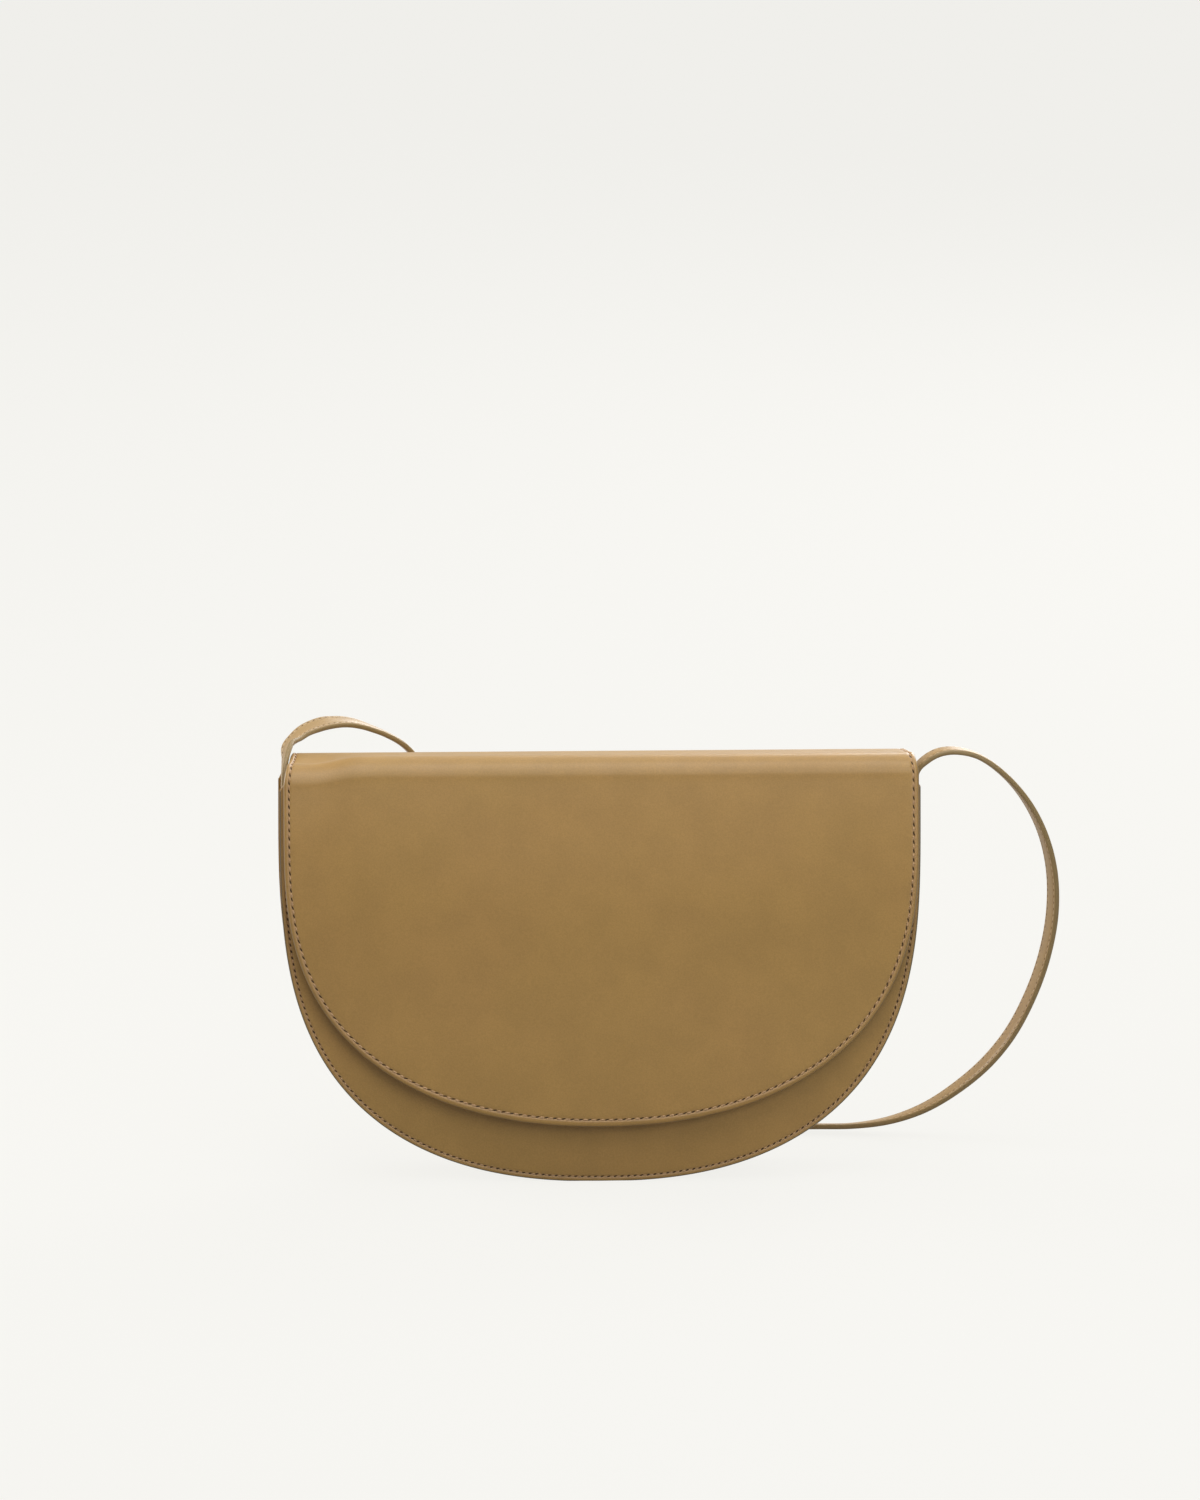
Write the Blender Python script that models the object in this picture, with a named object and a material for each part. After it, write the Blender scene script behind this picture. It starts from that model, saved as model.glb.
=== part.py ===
"""Half moon flap bag in smooth leather, modelled as its cut and sewn pieces.

The bag stands on its curved lower edge. X runs across it, its front faces -Y and Z points up.
The origin is on the floor, halfway through the depth of the bag with its flap closed.
"""
import math

import bmesh
import bpy
import numpy as np
from mathutils import Matrix, Vector

MM = 0.001
DEGREE = math.pi / 180

# Body outline, seen from the front
BODY_WIDTH = 280 * MM
MOUTH_HEIGHT = 179 * MM
SHOULDER_HEIGHT = 157 * MM
BASE_CUT = 0.3 * MM
BODY_SIDE_POWER = 2.34
BODY_BASE_POWER = 2.98

# Body depth, outside to outside at the sewn edge, and how far the panels swell
BASE_DEPTH = 46 * MM
MOUTH_DEPTH = 29 * MM
BODY_SHIFT = 4.1 * MM
FRONT_CROWN = 4 * MM
BACK_CROWN = 3 * MM

# Walls of the cut pieces and the clearance between them
GAP = 0.3 * MM
PANEL_WALL = 1.4 * MM
BOARD_WALL = 0.9 * MM
LINING_WALL = 0.6 * MM
FACING_WALL = 1.2 * MM
FACING_HEIGHT = 30 * MM
BOARD_DROP = 2 * MM

# Gusset: a hat-shaped strip whose flanges are sewn to the panels
GUSSET_WALL = 1.2 * MM
FLANGE_WIDTH = 4 * MM
FLANGE_BEND = 0.8 * MM
BACKER_WALL = 0.8 * MM
BACKER_WIDTH = 16 * MM
BACKER_LENGTH = 32 * MM
BACKER_DROP = 4 * MM
BACKER_CORNER = 3 * MM

# Flap
FLAP_WIDTH = 277.4 * MM
FLAP_SHIFT = 0.5 * MM
FLAP_TIP_HEIGHT = 26 * MM
FLAP_TIP_CUT = 0.4 * MM
FLAP_SIDE_POWER = 2.17
FLAP_BASE_POWER = 2.8
FLAP_WALL = 1.4 * MM
FLAP_BOARD_WALL = 0.6 * MM
FLAP_BOARD_INSET = 9 * MM
FLAP_BOARD_DROP = 8 * MM
FLAP_LINING_WALL = 0.8 * MM
FLAP_LINING_INSET = 1.6 * MM
FLAP_MOUTH_STANDOFF = 0.5 * MM
FLAP_TIP_STANDOFF = 4.5 * MM
STANDOFF_POWER = 1.5

# Fold over the mouth, and the flap's root on the back panel
FOLD_RADIUS = 9 * MM
FOLD_WIDTH = 270.4 * MM
REAR_WIDTH = 265.4 * MM
REAR_RISE = 5.2 * MM
TAB_LENGTH = 19 * MM

# Slip pocket on the back lining
POCKET_WIDTH = 150 * MM
POCKET_LOW = 62 * MM
POCKET_DROP = 9 * MM
POCKET_TRIM_HEIGHT = 10 * MM
POCKET_TRIM_WALL = 1 * MM

# Magnet closure
MAGNET_HEIGHT = 50 * MM
MAGNET_PROBE = 1 * MM
SOCKET_RADIUS = 9 * MM
SOCKET_THICKNESS = 1.5 * MM
SOCKET_RECESS_RADIUS = 3.5 * MM
SOCKET_RECESS_DEPTH = 1.2 * MM
SOCKET_SHANK_RADIUS = 2 * MM
SOCKET_WASHER_RADIUS = 7.9 * MM
SOCKET_WASHER_WALL = 0.5 * MM
STUD_RADIUS = 7 * MM
STUD_THICKNESS = 0.9 * MM
STUD_PIN_RADIUS = 2.3 * MM
STUD_PIN_LENGTH = 1 * MM
STUD_SHANK_RADIUS = 1.6 * MM
STUD_WASHER_RADIUS = 6.9 * MM
STUD_WASHER_WALL = 0.3 * MM
SHANK_CLEARANCE = 0.3 * MM
CUT_OVERRUN = 3 * MM

# Strap: one flat leather band, sewn on the outside of the gusset's two ends
STRAP_WIDTH = 10 * MM
STRAP_THICKNESS = 2.6 * MM
STRAP_CORNER = 0.7 * MM
STRAP_STEP = 8 * MM

# The strap's route in millimetres, with its roll in degrees: left end, over the left corner,
# down behind the bag, along the floor, up the right side and in to the right end
STRAP_ROUTE = (
    (-137.6, 6.4, 150, 0),
    (-137.6, 6.4, 164, 0),
    (-137.6, 6.7, 173, 0),
    (-137.4, 8.3, 180.3, 0),
    (-136.8, 12.4, 185.2, -9),
    (-136, 18.4, 187.8, -23),
    (-135.3, 25.4, 188.6, -62),
    (-132.9, 32, 189.4, -42),
    (-128.3, 37, 190.9, -8),
    (-123, 40.2, 192.1, 10),
    (-113.4, 44.2, 192.8, 12),
    (-103.4, 48.4, 190.7, 1),
    (-93.3, 52.8, 185.7, -9),
    (-83.7, 57, 179.2, -11),
    (-75, 60.6, 167.5, -8),
    (-60, 66.5, 141, -2),
    (-44, 71.5, 109, 0),
    (-23, 77, 69, 0),
    (-1, 80, 33, -2),
    (18, 80.3, 12.3, -4),
    (36, 78.8, 4.4, -7),
    (56, 76.7, 2.6, -10),
    (76, 75, 2.4, -11),
    (98.8, 73, 2.8, -11),
    (114, 71.4, 3.3, -10),
    (129.6, 68.6, 6.2, -4),
    (144.1, 64.5, 12.2, 3),
    (160.8, 59, 24, 10),
    (172.6, 54, 35.7, 14),
    (181, 49, 47.4, 15.5),
    (190.6, 41.8, 67.5, 17),
    (196.8, 35.6, 87.7, 18.5),
    (200, 29, 111.8, 20),
    (198.9, 24.2, 130.3, 18),
    (194.4, 19.8, 147.3, 15),
    (188.6, 16.6, 159.4, 13),
    (182.3, 13.9, 168.5, 10.5),
    (176.6, 11.9, 174.7, 9.5),
    (170.6, 10.2, 179.8, 9),
    (164.6, 8.9, 183.4, 7),
    (158.7, 8.1, 185.2, 4),
    (153, 7.7, 185.6, 1.5),
    (147.8, 7.6, 184.5, -1.5),
    (143.7, 7.6, 182.2, -3),
    (139.5, 7.6, 178.2, -2),
    (138.1, 7.6, 172.5, 0),
    (137.7, 7.6, 166, 0),
    (137.6, 7.6, 159, 0),
    (137.6, 7.6, 150, 0),
)

# How finely the curved forms are divided
FINE_STEPS = 240
PANEL_ROWS = 18
PANEL_COLUMNS = 16
INNER_ROWS = 12
INNER_COLUMNS = 10
BAND_ROWS = 3
GUSSET_STEPS = 21
FOLD_STEPS = 8
BEND_STEPS = 3
ROUND_STEPS = 24
CURVE_STEPS = 8
TINY = 0.001 * MM

KHAKI = (0.36, 0.24, 0.115, 1)
KHAKI_EDGE = (0.2, 0.13, 0.065, 1)
SAND = (0.5, 0.4, 0.27, 1)
BOARD_GREY = (0.42, 0.38, 0.32, 1)
PALE_BRASS = (0.75, 0.6, 0.33, 1)


def clear_scene():
    """Start from an empty scene."""
    for thing in list(bpy.data.objects):
        bpy.data.objects.remove(thing, do_unlink=True)


def finish(name, colour, roughness, metallic=0.0):
    """Make one plain finish."""
    material = bpy.data.materials.new(name)
    material.use_nodes = True
    shader = material.node_tree.nodes["Principled BSDF"]
    shader.inputs["Base Color"].default_value = colour
    shader.inputs["Roughness"].default_value = roughness
    shader.inputs["Metallic"].default_value = metallic
    return material


def add_piece(name, bm, skin):
    """Turn a bmesh into a named object with its finish."""
    mesh = bpy.data.meshes.new(name)
    bm.to_mesh(mesh)
    bm.free()
    mesh.materials.append(skin)
    piece = bpy.data.objects.new(name, mesh)
    bpy.context.scene.collection.objects.link(piece)
    return piece


def sheet(name, face_lines, back_lines, skin):
    """Skin two equal sets of lines, a sheet's face and its back, and close their rim."""
    bm = bmesh.new()
    face = [[bm.verts.new(point) for point in line] for line in face_lines]
    back = [[bm.verts.new(point) for point in line] for line in back_lines]
    for rows in (face, back):
        for low, high in zip(rows, rows[1:]):
            for i in range(len(low) - 1):
                bm.faces.new((low[i], low[i + 1], high[i + 1], high[i]))
    rims = [loop_round(rows) for rows in (face, back)]
    for i in range(len(rims[0])):
        bm.faces.new((rims[0][i], rims[0][i - 1], rims[1][i - 1], rims[1][i]))
    bmesh.ops.recalc_face_normals(bm, faces=bm.faces)
    return add_piece(name, bm, skin)


def loop_round(rows):
    """The corner points round the rim of a grid of rows."""
    right = [row[-1] for row in rows[1:-1]]
    left = [row[0] for row in rows[-2:0:-1]]
    return rows[0] + right + rows[-1][::-1] + left


def loft(name, rings, skin):
    """Bridge equal closed rings of points into one solid with flat ends."""
    bm = bmesh.new()
    loops = [[bm.verts.new(point) for point in ring] for ring in rings]
    for first, second in zip(loops, loops[1:]):
        for i in range(len(first)):
            j = (i + 1) % len(first)
            bm.faces.new((first[i], first[j], second[j], second[i]))
    bm.faces.new(reversed(loops[0]))
    bm.faces.new(loops[-1])
    bmesh.ops.recalc_face_normals(bm, faces=bm.faces)
    return add_piece(name, bm, skin)


def turned(name, profile, skin):
    """Spin a profile of (radius, height) points round the local Z axis."""
    bm = bmesh.new()
    points = [bm.verts.new((radius, 0, height)) for radius, height in profile]
    edges = [bm.edges.new(pair) for pair in zip(points, points[1:])]
    if profile[0][0] > 0:
        edges.append(bm.edges.new((points[-1], points[0])))
    bmesh.ops.spin(
        bm, geom=points + edges, cent=(0, 0, 0), axis=(0, 0, 1),
        angle=2 * math.pi, steps=ROUND_STEPS, use_merge=True,
    )
    bmesh.ops.remove_doubles(bm, verts=bm.verts, dist=TINY)
    bmesh.ops.recalc_face_normals(bm, faces=bm.faces)
    piece = add_piece(name, bm, skin)
    piece.data.shade_smooth()
    piece.data.set_sharp_from_angle(angle=math.pi / 6)
    return piece


def cut_round(piece, radius, place):
    """Cut a round hole through a piece, along the local Z axis of the given place."""
    bm = bmesh.new()
    bmesh.ops.create_cone(
        bm, cap_ends=True, segments=ROUND_STEPS, radius1=radius, radius2=radius,
        depth=2 * CUT_OVERRUN,
    )
    cutter = add_piece(piece.name + "_cutter", bm, piece.data.materials[0])
    cutter.matrix_world = place
    cutter.hide_render = True
    cutter.display_type = "WIRE"
    cut = piece.modifiers.new("Hole", "BOOLEAN")
    cut.operation = "DIFFERENCE"
    cut.object = cutter


def even_steps(points, count, axes):
    """Spread a number of points evenly along a line, measured on its first axes."""
    points = np.array(points)
    steps = np.linalg.norm(np.diff(points[:, :axes], axis=0), axis=1)
    along = np.concatenate(([0], np.cumsum(steps)))
    marks = np.linspace(0, along[-1], count)
    return np.column_stack([np.interp(marks, along, column) for column in points.T])


def half_moon(half_width, shoulder, drop, side_power, base_power, top, inset=0):
    """Right-hand half of a half moon outline, from its lowest point up, moved inwards."""
    angles = np.linspace(0, math.pi / 2, FINE_STEPS)
    across = half_width * np.sin(angles) ** (2 / side_power)
    height = shoulder - drop * np.cos(angles) ** (2 / base_power)
    across = np.append(across, half_width)
    height = np.append(height, top)
    run = np.gradient(across)
    rise = np.gradient(height)
    length = np.hypot(run, rise)
    return across - inset * rise / length, height + inset * run / length


def outline_rows(curve, low, high, count):
    """Rows of (half width, height) from low to high, evenly spaced along the outline."""
    across, height = curve
    between = (height > low) & (height < high)
    heights = np.concatenate(([low], height[between], [high]))
    widths = np.interp(heights, height, across)
    return even_steps(np.column_stack((widths, heights)), count, 2)


def body_curve(inset=0):
    """The body's outline, moved inwards."""
    return half_moon(
        BODY_WIDTH / 2, SHOULDER_HEIGHT, SHOULDER_HEIGHT + BASE_CUT,
        BODY_SIDE_POWER, BODY_BASE_POWER, MOUTH_HEIGHT, inset,
    )


def flap_curve(inset=0):
    """The outline of the flap's hanging part, moved inwards."""
    return half_moon(
        FLAP_WIDTH / 2, SHOULDER_HEIGHT, SHOULDER_HEIGHT - FLAP_TIP_HEIGHT,
        FLAP_SIDE_POWER, FLAP_BASE_POWER, MOUTH_HEIGHT, inset,
    )


def half_depth(z):
    """Half the body's depth at its sewn edge."""
    return (BASE_DEPTH + (MOUTH_DEPTH - BASE_DEPTH) * z / MOUTH_HEIGHT) / 2


def swell(x, z):
    """Share of a panel's crown at a place: none at its edges, most low in the middle."""
    curve_share = max(0, SHOULDER_HEIGHT - z) / (SHOULDER_HEIGHT + BASE_CUT)
    width_share = (1 - curve_share ** BODY_BASE_POWER) ** (1 / BODY_SIDE_POWER)
    across_share = 1 - min(1, abs(x) / (width_share * BODY_WIDTH / 2)) ** 2
    up_share = min(1, z / MOUTH_HEIGHT)
    return across_share * 27 / 4 * up_share * (1 - up_share) ** 2


def front_y(x, z, depth=0):
    """How far back the body's front lies, a depth behind its outer face."""
    return BODY_SHIFT - half_depth(z) - FRONT_CROWN * swell(x, z) + depth


def back_y(x, z, depth=0):
    """How far back the body's back lies, a depth inside its outer face."""
    return BODY_SHIFT + half_depth(z) + BACK_CROWN * swell(x, z) - depth


# Depths at which the body's layers start, behind the outer face of a panel
BOARD_DEPTH = PANEL_WALL + GAP
LINING_DEPTH = BOARD_DEPTH + BOARD_WALL + GAP
LINING_BACK = LINING_DEPTH + LINING_WALL
FACING_BACK = LINING_DEPTH + FACING_WALL
POCKET_DEPTH = LINING_BACK + GAP
POCKET_TRIM_DEPTH = POCKET_DEPTH + LINING_WALL + GAP

# Insets of the inner pieces from the body's outline
WEB_BACK = FLANGE_WIDTH + GUSSET_WALL
BACKER_INSET = WEB_BACK + GAP
GUSSET_LINING_INSET = BACKER_INSET + BACKER_WALL + GAP
INNER_INSET = WEB_BACK + GAP
FACING_LOW = MOUTH_HEIGHT - FACING_HEIGHT
POCKET_HIGH = FACING_LOW - POCKET_DROP

# Depths of the flap's layers, behind its outer face
FLAP_BOARD_DEPTH = FLAP_WALL + GAP
FLAP_LINING_DEPTH = FLAP_BOARD_DEPTH + FLAP_BOARD_WALL + GAP
FLAP_BUILD = FLAP_LINING_DEPTH + FLAP_LINING_WALL
BRIDGE_LINING_DEPTH = FLAP_WALL + GAP


def flap_y(x, z, depth=0):
    """How far back the hanging flap lies, a depth behind its outer face."""
    fall = max(0, MOUTH_HEIGHT - z) / (MOUTH_HEIGHT - FLAP_TIP_HEIGHT)
    standoff = FLAP_MOUTH_STANDOFF
    standoff += (FLAP_TIP_STANDOFF - FLAP_MOUTH_STANDOFF) * fall ** STANDOFF_POWER
    return front_y(x, z) - FLAP_BUILD - standoff + depth


def spread(half_width, columns, shift=0):
    """Places across a row."""
    return [shift + half_width * share for share in np.linspace(-1, 1, columns + 1)]


def surface_lines(surface, rows, columns, depth, shift=0):
    """Lines of points over a surface at a depth behind its face."""
    return [
        [(x, surface(x, z, depth), z) for x in spread(half_width, columns, shift)]
        for half_width, z in rows
    ]


def layer(name, surface, rows, columns, depth, wall, skin, shift=0):
    """One layer of the body or the flap, from a depth behind the outer face inwards."""
    face = surface_lines(surface, rows, columns, depth, shift)
    back = surface_lines(surface, rows, columns, depth + wall, shift)
    return sheet(name, face, back, skin)


class Fold:
    """The flap's side view over the mouth: a sloping rear stretch and a round front fold."""

    def __init__(self):
        lean = math.atan((BASE_DEPTH - MOUTH_DEPTH) / 2 / MOUTH_HEIGHT)
        self.end_angle = math.pi - lean
        face = flap_y(BODY_WIDTH / 2, MOUTH_HEIGHT)
        self.centre_y = face + FOLD_RADIUS * math.cos(lean)
        self.centre_z = MOUTH_HEIGHT - FOLD_RADIUS * math.sin(lean)
        self.rear_y = BODY_SHIFT + half_depth(MOUTH_HEIGHT + REAR_RISE) + GAP + FLAP_WALL
        self.rear_z = MOUTH_HEIGHT + REAR_RISE
        away_y = self.rear_y - self.centre_y
        away_z = self.rear_z - self.centre_z
        away = math.hypot(away_y, away_z)
        self.start_angle = math.atan2(away_z, away_y) + math.acos(FOLD_RADIUS / away)
        self.run = math.sqrt(away ** 2 - FOLD_RADIUS ** 2)

    def round_point(self, angle, depth=0):
        """A point on the round fold."""
        radius = FOLD_RADIUS - depth
        return (
            self.centre_y + radius * math.cos(angle),
            self.centre_z + radius * math.sin(angle),
        )

    def rear_point(self, share, depth=0):
        """A point between the round fold, at share 0, and the rear edge, at share 1."""
        y, z = self.round_point(self.start_angle, depth)
        back = self.run * share
        return y + back * math.sin(self.start_angle), z - back * math.cos(self.start_angle)


FOLD = Fold()
TAB_TOP = FOLD.rear_z - FLAP_WALL - GAP
LIFT_AXIS = Vector((0, back_y(0, TAB_TOP, -GAP - FLAP_WALL), TAB_TOP + GAP / 2))
UNFOLD_AXIS = Vector((0, *FOLD.round_point(FOLD.start_angle)))


def frame_at(surface, depth, side):
    """Place for a round piece on the middle of a surface, its local Z pointing to a side."""
    height = MAGNET_HEIGHT
    above = surface(0, height + MAGNET_PROBE, depth)
    below = surface(0, height - MAGNET_PROBE, depth)
    slope = (above - below) / (MAGNET_PROBE + MAGNET_PROBE)
    out = Vector((0, side, -side * slope)).normalized()
    turn = out.to_track_quat("Z", "Y").to_matrix().to_4x4()
    return Matrix.Translation((0, surface(0, height, depth), height)) @ turn


def build_panels(leather):
    """The two crowned outer panels."""
    rows = outline_rows(body_curve(), 0, MOUTH_HEIGHT, PANEL_ROWS)
    front = layer("front_panel", front_y, rows, PANEL_COLUMNS, 0, PANEL_WALL, leather)
    layer("back_panel", back_y, rows, PANEL_COLUMNS, 0, PANEL_WALL, leather)
    return front


def build_boards(board):
    """Stiffeners behind the panels, inside the seam."""
    top = MOUTH_HEIGHT - BOARD_DROP
    rows = outline_rows(body_curve(INNER_INSET), INNER_INSET, top, INNER_ROWS)
    front = layer("front_board", front_y, rows, INNER_COLUMNS, BOARD_DEPTH, BOARD_WALL, board)
    layer("back_board", back_y, rows, INNER_COLUMNS, BOARD_DEPTH, BOARD_WALL, board)
    return front


def build_linings(cloth, leather):
    """Cloth linings up to the leather facings of the mouth."""
    curve = body_curve(INNER_INSET)
    rows = outline_rows(curve, INNER_INSET, FACING_LOW - GAP, INNER_ROWS)
    band = outline_rows(curve, FACING_LOW, MOUTH_HEIGHT, BAND_ROWS)
    for side, surface in (("front", front_y), ("back", back_y)):
        layer(side + "_lining", surface, rows, INNER_COLUMNS, LINING_DEPTH, LINING_WALL, cloth)
        layer(side + "_facing", surface, band, INNER_COLUMNS, LINING_DEPTH, FACING_WALL, leather)


def build_pocket(cloth, leather):
    """Flat slip pocket on the back lining, with a leather strip along its top."""
    rows = [(POCKET_WIDTH / 2, z) for z in np.linspace(POCKET_LOW, POCKET_HIGH, INNER_ROWS)]
    layer("slip_pocket", back_y, rows, INNER_COLUMNS, POCKET_DEPTH, LINING_WALL, cloth)
    low = POCKET_HIGH - POCKET_TRIM_HEIGHT
    rows = [(POCKET_WIDTH / 2, z) for z in np.linspace(low, POCKET_HIGH, BAND_ROWS)]
    layer(
        "slip_pocket_trim", back_y, rows, INNER_COLUMNS, POCKET_TRIM_DEPTH, POCKET_TRIM_WALL,
        leather)


def gusset_stations():
    """Places along the whole outline with their inward directions, left end to right end."""
    rows = outline_rows(body_curve(), 0, MOUTH_HEIGHT, GUSSET_STEPS)
    whole = np.vstack((rows[::-1] * (-1, 1), rows))
    run = np.gradient(whole[:, 0])
    rise = np.gradient(whole[:, 1])
    length = np.hypot(run, rise)
    inward = np.column_stack((-rise / length, run / length))
    inward[0] = (1, 0)
    inward[-1] = (-1, 0)
    return whole, inward


def bend_points(corner_inset, corner_y, radius, start):
    """Quarter bend of the gusset's section round a centre, from a start angle."""
    angles = [start + math.pi / 2 * i / (BEND_STEPS - 1) for i in range(BEND_STEPS)]
    return [(corner_inset + radius * math.cos(a), corner_y + radius * math.sin(a)) for a in angles]


def hat_section(reach):
    """Closed section of the gusset as (inset, y): flange, web, flange, then back outside."""
    bend_inset = FLANGE_WIDTH - FLANGE_BEND
    bend_y = reach - GUSSET_WALL - FLANGE_BEND
    inner = FLANGE_BEND + GUSSET_WALL
    section = [(0, -reach)]
    section += bend_points(bend_inset, -bend_y, inner, -math.pi / 2)
    section += bend_points(bend_inset, bend_y, inner, 0)
    section += [(0, reach), (0, reach - GUSSET_WALL)]
    section += bend_points(bend_inset, bend_y, FLANGE_BEND, 0)[::-1]
    section += bend_points(bend_inset, -bend_y, FLANGE_BEND, -math.pi / 2)[::-1]
    section += [(0, GUSSET_WALL - reach)]
    return section


def strip_section(reach, start, wall):
    """Closed section of a flat strip as (inset, y)."""
    return [(start, -reach), (start + wall, -reach), (start + wall, reach), (start, reach)]


def place_section(section, x, z, in_x, in_z):
    """Set a section of (inset, y) points at a place on the outline."""
    return [(x + in_x * inset, BODY_SHIFT + y, z + in_z * inset) for inset, y in section]


def build_gusset(leather, cloth):
    """The gusset round sides and base, and its lining."""
    places, inward = gusset_stations()
    shell = []
    lining = []
    for (x, z), (in_x, in_z) in zip(places, inward):
        reach = half_depth(z) - PANEL_WALL - GAP
        section = hat_section(reach)
        shell.append(place_section(section, x, z, in_x, in_z))
        reach = half_depth(z) - FACING_BACK - GAP
        section = strip_section(reach, GUSSET_LINING_INSET, LINING_WALL)
        lining.append(place_section(section, x, z, in_x, in_z))
    loft("gusset", shell, leather)
    loft("gusset_lining", lining, cloth)


def build_backers(board):
    """Rounded patches behind the strap's sewn ends, inside the gusset."""
    top = MOUTH_HEIGHT - BACKER_DROP
    middle_z = top - BACKER_LENGTH / 2
    corner_y = BACKER_WIDTH / 2 - BACKER_CORNER
    corner_z = BACKER_LENGTH / 2 - BACKER_CORNER
    ring = []
    for quarter, (side_y, side_z) in enumerate(((1, 1), (-1, 1), (-1, -1), (1, -1))):
        for i in range(BEND_STEPS):
            angle = math.pi / 2 * (quarter + i / (BEND_STEPS - 1))
            y = BODY_SHIFT + side_y * corner_y + BACKER_CORNER * math.cos(angle)
            z = middle_z + side_z * corner_z + BACKER_CORNER * math.sin(angle)
            ring.append((y, z))
    outer = BODY_WIDTH / 2 - BACKER_INSET
    for side, name in ((-1, "strap_backer_left"), (1, "strap_backer_right")):
        faces = (side * outer, side * (outer - BACKER_WALL))
        loft(name, [[(x, y, z) for y, z in ring] for x in faces], board)


def fold_lines(depth, inset, columns):
    """Lines of points over the round fold, where the flap narrows towards the rear."""
    lines = []
    start_angle = FOLD.start_angle + GAP / 2 / FOLD_RADIUS
    for angle in np.linspace(FOLD.end_angle, start_angle, FOLD_STEPS + 1)[1:]:
        share = (FOLD.end_angle - angle) / (FOLD.end_angle - FOLD.start_angle)
        ease_share = share * share * (3 - 2 * share)
        half_width = (FLAP_WIDTH + (FOLD_WIDTH - FLAP_WIDTH) * ease_share) / 2 - inset
        y, z = FOLD.round_point(angle, depth)
        lines.append([(x, y, z) for x in spread(half_width, columns, FLAP_SHIFT)])
    return lines


def bridge_lines(depth, inset, setback, columns):
    """Lines of points over the mouth, from the round fold back to the rear edge."""
    lines = []
    for share in np.linspace(GAP / 2 / FOLD.run, 1 - setback / FOLD.run, BAND_ROWS):
        half_width = (FOLD_WIDTH + (REAR_WIDTH - FOLD_WIDTH) * share) / 2 - inset
        y, z = FOLD.rear_point(share, depth)
        lines.append([(x, y, z) for x in spread(half_width, columns, FLAP_SHIFT)])
    return lines


def build_tab(leather):
    """The flap's root, sewn on the outside of the back panel."""
    heights = np.linspace(TAB_TOP - TAB_LENGTH, TAB_TOP, BAND_ROWS + BAND_ROWS)
    rows = [(REAR_WIDTH / 2, z) for z in heights]
    depth = -GAP - FLAP_WALL
    layer("flap_tab", back_y, rows, PANEL_COLUMNS, depth, FLAP_WALL, leather, FLAP_SHIFT)


def build_bridge(leather, cloth):
    """The stretch of the flap over the mouth, with its lining short of the rear edge."""
    face = bridge_lines(0, 0, 0, PANEL_COLUMNS)
    back = bridge_lines(FLAP_WALL, 0, 0, PANEL_COLUMNS)
    bridge = sheet("bridge_leather", face, back, leather)
    setback = FLAP_WALL + GAP + GAP
    inset = FLAP_LINING_INSET
    face = bridge_lines(BRIDGE_LINING_DEPTH, inset, setback, INNER_COLUMNS)
    depth = BRIDGE_LINING_DEPTH + FLAP_LINING_WALL
    back = bridge_lines(depth, inset, setback, INNER_COLUMNS)
    return bridge, sheet("bridge_lining", face, back, cloth)


def flap_layer(name, inset, depth, wall, rows, columns, skin):
    """One layer of the hanging flap and the round fold above it."""
    low = FLAP_TIP_HEIGHT + FLAP_TIP_CUT + inset
    hanging = outline_rows(flap_curve(inset), low, MOUTH_HEIGHT, rows)
    skins = []
    for level in (depth, depth + wall):
        lines = surface_lines(flap_y, hanging, columns, level, FLAP_SHIFT)
        skins.append(lines + fold_lines(level, inset, columns))
    return sheet(name, *skins, skin)


def build_flap(leather, cloth, board):
    """The hanging front of the flap, its stiffener and its lining."""
    flap = flap_layer("flap_leather", 0, 0, FLAP_WALL, PANEL_ROWS, PANEL_COLUMNS, leather)
    lining = flap_layer(
        "flap_lining", FLAP_LINING_INSET, FLAP_LINING_DEPTH, FLAP_LINING_WALL,
        INNER_ROWS, INNER_COLUMNS, cloth)
    low = FLAP_TIP_HEIGHT + FLAP_TIP_CUT + FLAP_BOARD_INSET
    top = MOUTH_HEIGHT - FLAP_BOARD_DROP
    rows = outline_rows(flap_curve(FLAP_BOARD_INSET), low, top, INNER_ROWS)
    flap_board = layer(
        "flap_board", flap_y, rows, INNER_COLUMNS, FLAP_BOARD_DEPTH, FLAP_BOARD_WALL,
        board, FLAP_SHIFT)
    return flap, lining, flap_board


def build_socket(front, front_board, brass):
    """Magnet socket riveted through the front panel to its washer."""
    place = frame_at(front_y, 0, -1)
    end = -BOARD_DEPTH - SOCKET_WASHER_WALL
    top = GAP + SOCKET_THICKNESS
    socket = turned("magnet_socket", (
        (0, end),
        (SOCKET_SHANK_RADIUS, end),
        (SOCKET_SHANK_RADIUS, GAP),
        (SOCKET_RADIUS, GAP),
        (SOCKET_RADIUS, top),
        (SOCKET_RECESS_RADIUS, top),
        (SOCKET_RECESS_RADIUS, top - SOCKET_RECESS_DEPTH),
        (0, top - SOCKET_RECESS_DEPTH),
    ), brass)
    hole = SOCKET_SHANK_RADIUS + SHANK_CLEARANCE
    washer = turned("magnet_socket_washer", (
        (hole, end),
        (SOCKET_WASHER_RADIUS, end),
        (SOCKET_WASHER_RADIUS, -BOARD_DEPTH),
        (hole, -BOARD_DEPTH),
    ), brass)
    socket.matrix_world = place
    washer.matrix_world = place
    cut_round(front, hole, place)
    cut_round(front_board, SOCKET_WASHER_RADIUS + GAP + GAP, place)


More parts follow.
